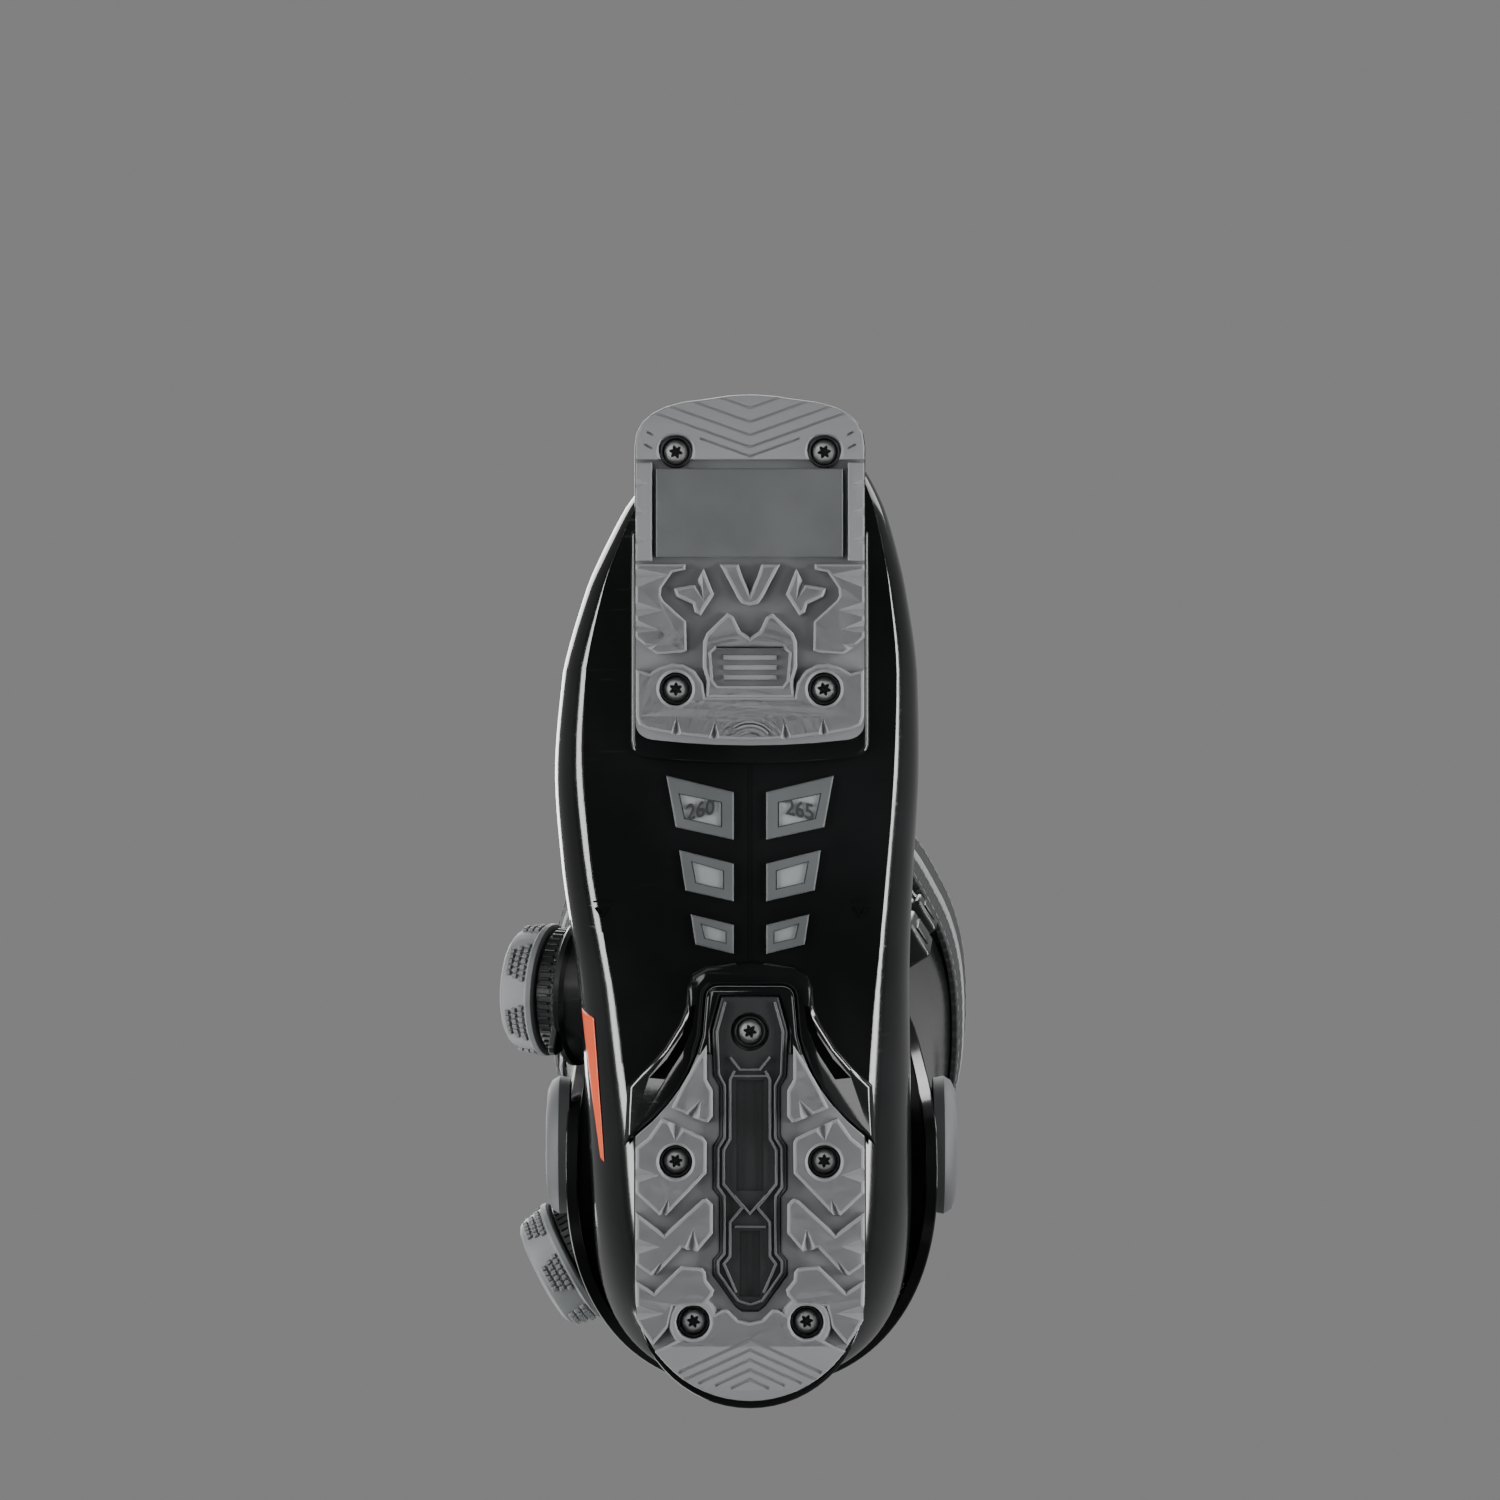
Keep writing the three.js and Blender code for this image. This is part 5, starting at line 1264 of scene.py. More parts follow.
@dataclass
class LowerShell:
    """The glossy shell round the foot, with the ledges that a binding holds and the collar in front of the heel."""

    wall: float = 4.4
    flap_from: float = 0.26
    flap_step: float = 2.4
    collar_low: float = 4.6
    ramp_from: float = 18.5
    ramp: float = 0.38
    collar_half: Outline = field(
        default_factory=lambda: [
            (0, 18), (-13.2, 19.6), (-17.4, 22), (-18.8, 26), (-19.2, 31.5), (-21.3, 36.6), (-26, 44.2), (-31, 50),
            (-37, 55.6), (-38, 74),
        ]
    )
    slot_half: Outline = field(
        default_factory=lambda: [
            (-17.7, 31.4), (-16.2, 31.2), (-17.2, 38), (-20.4, 45.6), (-25.6, 53.6), (-30.4, 53.2), (-25, 47.4),
            (-20.4, 40),
        ]
    )

    def build(self) -> None:
        """Make the shell and everything moulded with it."""
        self.foot()
        self.flap()
        self.toe_ledge()
        self.heel_block()
        self.collar()
        self.marks()
        self.stripe()

    def foot(self) -> None:
        """The shell's body, cut flat underneath."""
        bm = sheet(88, 96, lambda u, v: FOOT.point(v, 360 * u), weld=True)
        bmesh.ops.holes_fill(bm, edges=[e for e in bm.edges if e.is_boundary and e.verts[0].co.z < 60], sides=0)
        bisect(bm, (0, 0, SHELL_FLOOR), (0, 0, -1), dist=0.0005, clear=True)
        rim = [e for e in bm.edges if e.is_boundary and max(v.co.z for v in e.verts) < SHELL_FLOOR + 0.01]
        bmesh.ops.holes_fill(bm, edges=rim, sides=0)
        chamfer(bm, rim, 2.0, 4, clamp=True)
        Piece("shell_body", SHELL, Body.LOWER, "shell", ("lower_shell",), wall=self.wall, sharp=50).settle(bm)

    def flap(self) -> None:
        """The lateral half, which laps over the medial one along the instep."""

        def place(u: float, v: float) -> Vector:
            """The flap's outside."""
            along = self.flap_from + (0.992 - self.flap_from) * v
            edge = 66 + 6 * smooth(1 - v * 6)
            angle = edge + (150 - edge) * u
            lift = self.flap_step * smooth((150 - angle) / 14) * smooth(v * 14)
            return FOOT.point(along, angle, -lift)

        bm = sheet(26, 60, place)
        Piece("shell_flap", SHELL, Body.LOWER, "shell", wall=2.6, bevel=0.7, sharp=40).settle(bm, recalculate=False)

    def toe_ledge(self) -> None:
        """The block above the toe plate, and the low plinth behind it."""
        ledge = prism(toe_outline(0.4, -98), 11, TOE_LEDGE)
        Piece("shell_toe_ledge", SHELL, Body.LOWER, "shell", bevel=0.9, bevel_segments=3).settle(ledge)
        plinth = prism(toe_outline(1.6, -41.4), 9.6, 14)
        bisect(plinth, (0, -112, 0), (0, -1, 0), dist=0.0, clear=True)
        bmesh.ops.holes_fill(plinth, edges=plinth.edges[:], sides=0)
        Piece("shell_toe_plinth", SHELL, Body.LOWER, "shell", bevel=1.8, bevel_segments=4).settle(plinth)

    def heel_block(self) -> None:
        """The block above the heel plate, with its rim round the rubber."""
        block_low = prism(heel_outline(0.6), SHELL_FLOOR - 3.4, HEEL_LEDGE)
        Piece("shell_heel_block", SHELL, Body.LOWER, "shell", bevel=1.2, bevel_segments=4).settle(block_low)

    def collar(self) -> None:
        """The raised collar that runs round the front of the heel plate, with a slot in each side."""
        outline = [*self.collar_half, *heel_front(0.35, 71), *mirrored(self.collar_half)[:-1]]
        bm = lug(outline, self.collar_low, SHELL_FLOOR + 1, 1.6)
        bm = carve(bm, *(prism(slot, 0, SHELL_FLOOR - 1.2) for slot in both([self.slot_half])))
        for x in (-self.ramp_from, self.ramp_from):
            bisect(bm, (x, 0, 0), (1, 0, 0))
        for vert in bm.verts:
            if vert.co.z < SHELL_FLOOR - 1.5:
                vert.co.z += max(0.0, abs(vert.co.x) - self.ramp_from) * self.ramp
        Piece("shell_heel_collar", SHELL, Body.LOWER, "shell", bevel=0.5, bevel_segments=2, sharp=30).settle(bm)

    def marks(self) -> None:
        """The mould's parting line and the marks at the middle of the sole."""
        seam = [block((0.45, 61, 0.3), Matrix.Translation((0, -12.5, SHELL_FLOOR)))]
        Piece("shell_parting_line", SHELL, Body.LOWER, "shell").settle(gather(seam))
        lines = []
        for side, edge in ((-1, 47.6), (1, 36.2)):
            for mark in (((5.2, 0.2), (0.2, 0.2)), ((4.4, 2.0), (2.6, 4.6), (0.8, 2.0))):
                lines.append([(side * (edge - inward), y) for inward, y in mark])
        marks = gather([prism(stroke(line, 0.5), SHELL_FLOOR - 0.25, SHELL_FLOOR + 2) for line in lines])
        Piece("shell_middle_marks", SHELL, Body.LOWER, "shell").settle(marks)

    def stripe(self) -> None:
        """A plain orange stripe, low on the outer side."""

        def place(u: float, v: float) -> Vector:
            """The stripe, just proud of the shell."""
            return FOOT.point(0.546 + 0.066 * v, 214 - 17 * u * (1 - 0.8 * v), -0.12)

        Piece("shell_stripe", ORANGE, Body.LOWER, "shell", wall=0.1).settle(sheet(8, 24, place), recalculate=False)


@dataclass
class ArchPads:
    """Six soft grey pads let into the shell under the arch, the front pair marked with the two foot lengths."""

    rows: tuple[tuple[Outline, Outline], ...] = (
        (
            [(-4.9, -32.9), (-25.3, -37.9), (-22.4, -22.3), (-4.9, -18.5)],
            [(-8.4, -29.9), (-21.6, -32.6), (-19.9, -24.8), (-8.4, -22.2)],
        ),
        (
            [(-4.9, -11.3), (-21.4, -15.4), (-19.5, -3.2), (-4.9, 0.1)],
            [(-7.8, -9.2), (-17.8, -12.1), (-16.5, -5.4), (-7.8, -3.4)],
        ),
        (
            [(-4.9, 7.2), (-17.9, 4), (-16.5, 13.1), (-4.9, 16)],
            [(-7.1, 9.1), (-14.9, 6.7), (-13.8, 11.3), (-7.1, 12.9)],
        ),
    )
    numbers: tuple[str, str] = ("260", "265")

    def build(self) -> None:
        """Make the pads, their sunk faces and the two numbers."""
        frames, faces = [], []
        for outer, inner in self.rows:
            for outline, hollow in zip(both([outer]), both([inner])):
                pad = lug(outline, SHELL_FLOOR - 0.75, SHELL_FLOOR + 1.5, 0.45)
                frames.append(carve(pad, prism(hollow, SHELL_FLOOR - 2, SHELL_FLOOR - 0.02)))
                centre = Vector((sum(x for x, _ in hollow) / 4, sum(y for _, y in hollow) / 4))
                small = [tuple(centre + (Vector(p) - centre) * 0.96) for p in hollow]
                faces.append(lug(small, SHELL_FLOOR - 0.32, SHELL_FLOOR + 1.2, 0.2))
        Piece("arch_pad_frames", PAD, Body.LOWER, "arch_inlay", ("arch_inlay",), sharp=20).settle(gather(frames))
        Piece("arch_pad_faces", PAD_FACE, Body.LOWER, "arch_inlay", sharp=20).settle(gather(faces))
        for text, x in zip(self.numbers, (-15, 15)):
            self.number(text, x)

    def number(self, text: str, x: float) -> None:
        """A raised foot length on a pad.

        Args:
            text: the number.
            x: where its middle is across the boot.
        """
        font = bpy.data.curves.new("number", "FONT")
        font.body = text
        font.align_x = "CENTER"
        font.align_y = "CENTER"
        font.size = 6.8
        font.extrude = 0.35
        font.offset = 0.12
        font.resolution_u = 3
        holder = link("number", font)
        mesh = bpy.data.meshes.new_from_object(holder.evaluated_get(bpy.context.evaluated_depsgraph_get()))
        bpy.data.objects.remove(holder)
        bpy.data.curves.remove(font)
        bm = bmesh.new()
        bm.from_mesh(mesh)
        bpy.data.meshes.remove(mesh)
        lean = Matrix(((0.86, 0.0, 0, 0), (math.copysign(0.2, -x), 1, 0, 0), (0, 0, 1, 0), (0, 0, 0, 1)))
        flip = Matrix.Translation((x, -27.4, SHELL_FLOOR - 0.3)) @ Matrix.Rotation(math.pi, 4, "X")
        Piece(f"arch_number_{text}", PAD_NUMBER, Body.LOWER, "arch_inlay").settle(moved(bm, flip @ lean))


# ---- the liner ---------------------------------------------------------------------------------------------


@dataclass
class Liner:
    """The padded bootie, one soft piece from the toe to above the cuff, and its tongue."""

    gap: float = 5.3
    padding: float = 6.6
    top: float = 325.0
    footbed: tuple[Point2, ...] = ((-60, 24), (95, 35))

    def collar(self, angle: float) -> float:
        """The height of the liner's edge at an angle round the leg: low at the front, where the tongue comes out."""
        turn = abs((angle + 180) % 360 - 180)
        rear = self.top - 7 * smooth((180 - turn) / 60)
        return 214 + (rear - 214) * smooth((turn - 40) / 16)

    def place(self, u: float, v: float) -> Vector:
        """The bootie's outside at a share of the turn and of the way from toe to collar."""
        turn = 360 * u
        ankle = 0.56
        if v < ankle:
            point = FOOT.point(0.02 + 0.9 * v / ankle, turn, self.gap)
            point.z = max(point.z, along_line(self.footbed, point.y) + 0.5)
            return point
        angle = turn - 90
        t = (v - ankle) / (1 - ankle)
        foot = FOOT.point(0.92, turn, self.gap)
        level = 190 + (self.collar(angle) - 190) * smooth((t - 0.1) / 0.9) ** 0.8
        leg = LEG.point(max(level, 170), angle, 8.8 + 3.4 * smooth((55 - abs((angle + 180) % 360 - 180)) / 12))
        quilt = 0.9 * math.sin(math.pi * min(1.0, max(0.0, (t - 0.55) / 0.45))) ** 2
        return foot.lerp(leg + LEG.out(250, angle) * quilt, smooth(t / 0.34))

    def build(self) -> None:
        """Make the bootie and the tongue."""
        bm = sheet(72, 90, self.place, weld=True)
        bmesh.ops.holes_fill(bm, edges=[e for e in bm.edges if e.is_boundary and e.verts[0].co.z < 80], sides=0)
        piece = Piece(
            "liner_bootie", LINER_OUT, Body.LOWER, "liner", ("liner_boot", "liner_shaft"), wall=self.padding, rounds=1,
            sharp=60, more_finishes=(LINER_IN,),
        )
        bootie = piece.settle(bm)
        bootie.modifiers["wall"].material_offset = 1
        bootie.modifiers["wall"].material_offset_rim = 1
        bootie.parent = None
        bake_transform(bootie)
        self.tongue()

    def tongue(self) -> None:
        """The thick tongue down the shin, with sewn channels across it."""

        def place(u: float, v: float) -> Vector:
            """The tongue's outer face."""
            angle = -39 + 78 * u
            z = 182 + (341 - 182 - 10 * abs(2 * u - 1) ** 3) * v
            channel = 0.8 * abs(math.sin(math.pi * 6 * v)) ** 0.5
            edge = 3.5 * (1 - smooth(min(u, 1 - u) * 9))
            return LEG.point(z, angle, 10.2 - channel + edge)

        bm = sheet(30, 64, place)
        tongue = Piece(
            "liner_tongue_pad", LINER_OUT, Body.CUFF, "liner", ("liner_tongue",), wall=8.6, bevel=3.0, bevel_segments=3,
            sharp=50,
        )
        tongue.settle(bm, recalculate=False)


# ---- the cuff ----------------------------------------------------------------------------------------------


@dataclass
class Cuff:
    """The upper moulding: one sleeve whose lateral flap laps over the medial one at the front."""

    wall: float = 4.0
    flap_gap: float = 0.6
    lateral_edge: float = -20.0
    medial_edge: float = 380.0
    reach: float = 8.0
    lower_edge: tuple[Point2, ...] = (
        (-60, 166), (-12, 160), (12, 153), (34, 139), (48, 122), (55, 104), (59, 82), (66, 67), (76, 61), (86, 60.5),
        (97, 67), (112, 83), (132, 93), (180, 98),
    )
    upper_edge: tuple[Point2, ...] = ((-60, 276), (20, 282), (60, 299), (110, 305), (180, 307))

    def layer(self, angle: float) -> float:
        """How far the wall has moved inwards, to pass under the other flap."""
        return (self.wall + self.flap_gap) * smooth((angle - 275) / 50)

    def edge(self, angle: float, table: Sequence[Point2], low: float, high: float) -> float:
        """The height at which the wall at an angle meets an edge line drawn from the side."""
        steps = 240
        for i in range(steps + 1):
            z = low + (high - low) * i / steps
            if z >= along_line(table, LEG.point(z, angle).y):
                return z
        return high

    def build(self) -> None:
        """Make the sleeve and its trims."""
        count = 134
        angles = [self.lateral_edge + (self.medial_edge - self.lateral_edge) * i / count for i in range(count + 1)]
        lows = [self.edge(a, self.lower_edge, 50, 200) for a in angles]
        highs = [self.edge(a, self.upper_edge, 230, 320) for a in angles]
        for _ in range(2):
            lows = [sum(lows[max(i - 1, 0) : i + 2]) / len(lows[max(i - 1, 0) : i + 2]) for i in range(len(lows))]

        def place(u: float, v: float) -> Vector:
            """The sleeve's outside."""
            i = round(u * count)
            z = lows[i] + (highs[i] - lows[i]) * v
            return LEG.point(z, angles[i], self.layer(angles[i]))

        bm = sheet(count, 52, place)
        cuff = Piece(
            "cuff_sleeve", CUFF_FINISH, Body.CUFF, "cuff", ("cuff",), wall=self.wall, bevel=1.1, bevel_segments=3,
            sharp=40,
        )
        cuff.settle(bm, recalculate=False)
        self.skirts(angles, lows)
        self.spoiler()

    def skirts(self, angles: Sequence[float], lows: Sequence[float]) -> None:
        """The inner lips that close the room between the cuff's two ears and the shell.

        Args:
            angles: the angles round the leg at which the lower edge is known.
            lows: the height of the lower edge at each of them.
        """
        for name, first, last in (("lateral", 66, 122), ("medial", 238, 294)):
            span = [i for i, angle in enumerate(angles) if first <= angle <= last]

            def place(u: float, v: float) -> Vector:
                """The lip, from the wall inwards."""
                i = span[round(u * (len(span) - 1))]
                fade = math.sin(math.pi * u) ** 0.35
                return LEG.point(lows[i] + 7 + 3 * v, angles[i], self.wall - 0.6 + self.reach * v * fade)

            lip = Piece(f"cuff_lip_{name}", BOARD, Body.CUFF, "cuff", wall=1.2, sharp=40)
            lip.settle(sheet(len(span) - 1, 4, place), recalculate=False)

    def spoiler(self) -> None:
        """The panel inside the back of the cuff, which stands up behind the calf."""

        def place(u: float, v: float) -> Vector:
            """The panel's outer face."""
            angle = 142 + 76 * u
            top = CUFF_TOP + 15 - 10 * abs(2 * u - 1) ** 4
            return LEG.point(232 + (top - 232) * v, angle, self.wall + 0.35)

        panel = Piece(
            "spoiler_panel", HOUSING, Body.CUFF, "housing", ("rear_spoiler",), wall=2.5, bevel=0.9, bevel_segments=3,
            sharp=40,
        )
        panel.settle(sheet(30, 24, place), recalculate=False)


@dataclass
class PowerStrap:
    """The wide webbing strap round the top of the cuff, with a paler woven stripe, sewn edges and two rivets."""

    thickness: float = 2.2
    width: float = 40.0
    middle: float = CUFF_TOP - 31
    start: float = -30.0
    end: float = 390.0

    def layer(self, angle: float) -> float:
        """How far out the strap lies, so that its end passes over its start."""
        return -(self.thickness + 0.3 + (self.thickness + 0.6) * smooth((angle - 300) / 24))

    def point(self, angle: float, across: float, lift: float = 0.0) -> Vector:
        """A point on the strap, across from -0.5 at its lower edge to 0.5 at its upper edge."""
        z = self.middle - 9 * math.cos(math.radians(angle)) + across * self.width
        crown = 0.35 * (1 - (2 * across) ** 2)
        return LEG.point(z, angle, self.layer(angle) - lift - crown)

    def build(self) -> None:
        """Make the strap, its stripe, its stitching and its rivets."""
        span = self.end - self.start
        bm = sheet(168, 10, lambda u, v: self.point(self.start + span * u, v - 0.5))
        strap = Piece(
            "power_strap_webbing", WEBBING, Body.CUFF, "strap", ("power_strap",), wall=self.thickness, bevel=0.5,
            sharp=40,
        )
        strap.settle(bm, recalculate=False)
        stripe = sheet(168, 3, lambda u, v: self.point(self.start + 1 + (span - 2) * u, (v - 0.5) * 0.2, 0.16))
        Piece("power_strap_stripe", STRAP_MARK, Body.CUFF, "strap", wall=0.3).settle(stripe, recalculate=False)
        self.stitching()
        self.rivets()

    def stitching(self) -> None:
        """Rows of stitches near the strap's outer end, and along both edges."""
        stitches = []
        for across in (-0.44, 0.44):
            for i in range(150):
                stitches.append((self.start + 3 + (self.end - self.start - 6) * i / 149, across, 2.0, False))
        for angle in (self.end - 2.5, self.end - 16):
            for i in range(13):
                stitches.append((angle, -0.42 + 0.84 * i / 12, 2.0, True))
        parts = []
        for angle, across, length, upright in stitches:
            here = self.point(angle, across, 0.12)
            ahead = self.point(angle, across + 0.02, 0.12) if upright else self.point(angle + 1, across, 0.12)
            x = (ahead - here).normalized()
            z = LEG.out(here.z, angle)
            y = z.cross(x).normalized()
            turn = Matrix((x, y, x.cross(y))).transposed().to_4x4()
            parts.append(block((length, 0.55, 0.4), Matrix.Translation(here) @ turn, 0.12))
        Piece("power_strap_stitches", THREAD, Body.CUFF, "strap").settle(gather(parts))

    def rivets(self) -> None:
        """The two rivets through the strap, the cuff and the spoiler."""
        for i, angle in enumerate((158, 202)):
            z = CUFF_TOP - 24
            level = Vector((LEG.out(z, angle).x, LEG.out(z, angle).y, 0)).normalized()
            turn = Vector((0, 0, 1)).rotation_difference(level)
            dome = [(5, 3.3), (5.1, 3.9), (4.4, 4.8), (3.2, 5.2), (2.6, 4.9), (2.2, 4.2), (0, 4.1)]
            bm = lathe([(0, -7.5), (2, -7.5), (2, 3.3), *dome], 36)
            moved(bm, Matrix.Translation(LEG.point(z, angle)) @ turn.to_matrix().to_4x4())
            node = f"strap_rivet_{i + 1}"
            Piece(f"{node}_head", DARK_STEEL, Body.CUFF, "steel", (node,)).settle(bm)


@dataclass
class Pivot:
    """One of the two bolts that the cuff turns on, in a round matt cover."""

    side: Side
    face: float
    bolt: float = 9.5
    cover: float = 21.0

    def build(self) -> None:
        """Make the bolt's head and the cover round it."""
        turn = Matrix.Translation((0, PIVOT.y, PIVOT.z)) @ Matrix.Rotation(self.side.value * math.pi / 2, 4, "Y")
        f, r, c = self.face + 0.3, self.bolt, self.cover
        name = self.side.name.lower()
        rim = [(r, f), (r, f + 1.5), (r - 0.5, f + 2.3), (r - 1.7, f + 2.9), (4.2, f + 2.9), (3.9, f + 2.5)]
        bm = lathe([(0, f - 16), (4, f - 16), (4, f), *rim, (3.9, f + 1.2), (0, f + 1.2)], 48)
        star = [(2.6 * math.cos(math.tau * i / 6), 2.6 * math.sin(math.tau * i / 6)) for i in range(6)]
        bm = moved(carve(bm, prism(star, f - 0.5, f + 3)), turn)
        Piece(f"pivot_bolt_{name}_head", DARK_STEEL, Body.LOWER, "steel", (f"pivot_bolt_{name}",), sharp=30).settle(bm)
        outer = [(r + 0.5, f - 1.2), (c, f - 1.9), (c + 0.6, f + 1.4), (c - 0.8, f + 3.7), (c - 3.6, f + 5.0)]
        dome = [(r + 2.6, f + 5.5), (r + 1.1, f + 5.1), (r + 0.5, f + 4.2), (r + 0.5, f - 1.2)]
        cover = moved(lathe([*outer, *dome], 56), turn)
        Piece(f"pivot_cover_{name}", MATT_COVER, Body.CUFF, "cuff", sharp=40).settle(cover)


# ---- lace dials, laces and guides --------------------------------------------------------------------------


@dataclass
class LaceDial:
    """A winding dial: a black housing with a grey knob whose grip has rows of square studs between smooth flats."""

    name: str
    centre: Vector
    axis: Vector
    base_body: Body
    knob_body: Body
    radius: float = 21.0
    flange: float = 23.0
    knob_low: float = 9.0
    knob_height: float = 12.4

    @property
    def matrix(self) -> Matrix:
        """From the dial's own frame, with its axis upright, to the boot's."""
        turn = Vector((0, 0, 1)).rotation_difference(self.axis.normalized())
        return Matrix.Translation(self.centre) @ turn.to_matrix().to_4x4()

    def around(self, radius: float, angle: float, height: float) -> Vector:
        """A point at an angle round the dial's axis, in the boot's frame."""
        turn = math.radians(angle)
        return self.matrix @ Vector((radius * math.cos(turn), radius * math.sin(turn), height))

    def settle(self, piece: Piece, bm: Mesh) -> None:
        """Turn a mesh from the dial's own frame to the boot's, and finish it."""
        piece.settle(moved(bm, self.matrix))

    def build(self) -> None:
        """Make the housing and the knob."""
        self.housing()
        self.knob()
        dress(f"{self.name}_spool", HOUSING)

    def housing(self) -> None:
        """The black housing, with a toothed ring under the knob and three ticks on its flange."""
        f = self.flange
        foot = [(0, -9), (f - 2.4, -9), (f - 1.4, -1.6), (f, -0.4), (f + 0.2, 1.1), (f - 0.7, 2.1)]
        wall = [(20.2, 2.9), (19.2, 4.0), (18.9, 8.2), (13.2, 8.3), (13.2, 2.0), (2.4, 2.0), (2.4, 11), (0, 11)]
        parts = [lathe([*foot, *wall], 72)]
        parts += [block((1.2, 0.9, 3.6), spun(7.5 * i, (19.1, 0, 6.0)), 0.2) for i in range(48)]
        parts += [block((2.6, 0.6, 0.6), spun(angle, (21.3, 0, 2.35)), 0.15) for angle in (191, 200, 209)]
        base = (f"{self.name}_dial_base",)
        housing = Piece(f"{self.name}_dial_housing", HOUSING, self.base_body, "housing", base, sharp=35)
        self.settle(housing, gather(parts))
        tab = prism([(-5.5, -f + 2), (5.5, -f + 2), (1.8, -f - 4.6), (0, -f - 5.4), (-1.8, -f - 4.6)], 0.2, 2.6)
        self.settle(
            Piece(f"{self.name}_dial_tab", HOUSING, self.base_body, "housing", bevel=0.6), moved(tab, spun(232)),
        )

    def knob(self) -> None:
        """The grey knob: a ribbed drum with studs, flats and a black cap."""
        r, low = self.radius, self.knob_low
        top = low + self.knob_height
        skirt = [(6.6, low), (r - 1.4, low), (r - 0.4, low + 0.6), (r - 0.2, low + 2.4), (r - 1.3, low + 3.0)]
        crown = [(r - 2.2, top - 3.2), (r - 3.0, top - 1.2), (r - 4.6, top - 0.1), (9.9, top - 0.5), (9.5, top - 1.8)]
        bm = lathe([(0, 11.6), (6.6, 11.6), *skirt, *crown, (0, top - 1.8)], 84)
        tilt = Matrix.Rotation(-0.5, 4, "Y")
        flats = [block((4.2, 6.4, 13), spun(60 * i, (r + 0.9, 0, low + 9.4)) @ tilt) for i in range(6)]
        node = (f"{self.name}_knob",)
        knob = Piece(f"{self.name}_knob_drum", GRIP, self.knob_body, "knob_grip", node, bevel=0.3, sharp=30)
        self.settle(knob, carve(bm, gather(flats)))
        studs = []
        for i in range(6):
            for row in range(3):
                place = (r - 1.35 - 0.3 * row, 0, low + 4.3 + 2.35 * row)
                for column in range(7 - row):
                    angle = 60 * i + 30 + (column - (6 - row) / 2) * 5.6
                    studs.append(block((1.5, 1.55, 1.7), spun(angle, place), 0.3))
        self.settle(Piece(f"{self.name}_knob_studs", GRIP, self.knob_body, "knob_grip"), gather(studs))
        rim = [(9, top - 1.5), (9, top - 0.5), (8.4, top), (3, top + 0.15), (2.6, top - 0.1)]
        cap = lathe([(0, top - 1.5), *rim, (0, top - 0.1)], 56)
        self.settle(
            Piece(f"{self.name}_knob_badge", HOUSING, self.knob_body, "housing", (f"{self.name}_knob_cap",)), cap,
        )


INSTEP_DIAL = LaceDial("instep", Vector((-52.6, 30, 84)), Vector((-0.949, -0.05, 0.31)), Body.LOWER, Body.INSTEP_KNOB)
CUFF_DIAL = LaceDial(
    "cuff", LEG.point(172, 129) + Vector((-1.1, 0.7, 0)), Vector((-0.88, 0.47, 0.06)), Body.CUFF, Body.CUFF_KNOB
)


def over_foot(along: float, angle: float, lift: float = 2.9) -> Vector:
    """A point above the lower shell, and above the flap where there is one."""
    return FOOT.point(along, angle, -lift - (2.4 if 53 < angle < 154 else 0.0))


def over_leg(z: float, angle: float, lift: float = 2.9) -> Vector:
    """A point above the cuff."""
    return LEG.point(z, angle, -lift)


@dataclass
class Lace:
    """A steel lace from a dial, round its guides and back."""

    dial: LaceDial
    leaves: float
    comes: float | None
    route: tuple[Point2, ...]
    over: Callable[[float, float], Vector]
    radius: float = 0.8

    def build(self) -> None:
        """Make the lace."""
        points = [
            self.dial.around(18.7, self.leaves, 4.9), self.dial.around(26, self.leaves + (2 if self.comes else 0), 4),
        ]
        points += [self.over(a, b) for a, b in self.route]
        if self.comes:
            points += [self.dial.around(26, self.comes - 2, 5), self.dial.around(18.7, self.comes, 4.9)]
        line = Curve(points)
        steps = 10 * len(points)
        bm = sweep([line.at(i / steps) for i in range(steps + 1)], self.radius)
        name = self.dial.name
        Piece(f"{name}_lace_cable", CABLE, self.dial.base_body, "lace", (f"{name}_lace",)).settle(bm)


INSTEP_LACE = Lace(
    INSTEP_DIAL,
    284,
    336,
    (
        (0.44, 158), (0.40, 140), (0.37, 118), (0.345, 96), (0.33, 76), (0.325, 56), (0.33, 45), (0.345, 41),
        (0.36, 45),
        (0.37, 58), (0.385, 78), (0.405, 98), (0.425, 116), (0.44, 125), (0.455, 127), (0.467, 122), (0.47, 110),
        (0.468, 92), (0.467, 74), (0.47, 58), (0.475, 48), (0.49, 44), (0.505, 48), (0.515, 60), (0.53, 80),
        (0.545, 100),
        (0.552, 118), (0.556, 134),
    ),
    over_foot,
)
CUFF_LACE = Lace(
    CUFF_DIAL,
    304,
    None,
    (
        (189, 96), (192, 76), (194, 52), (195, 28), (196, 4), (197, -20), (198, -42), (201, -55), (206, -60),
        (211, -56),
        (215, -42), (218, -20), (221, 4), (224, 24), (227, 36), (231.5, 40), (236, 36), (238, 24), (238.5, 4),
        (238, -20),
        (237, -42), (236, -54),
    ),
    over_leg,
)


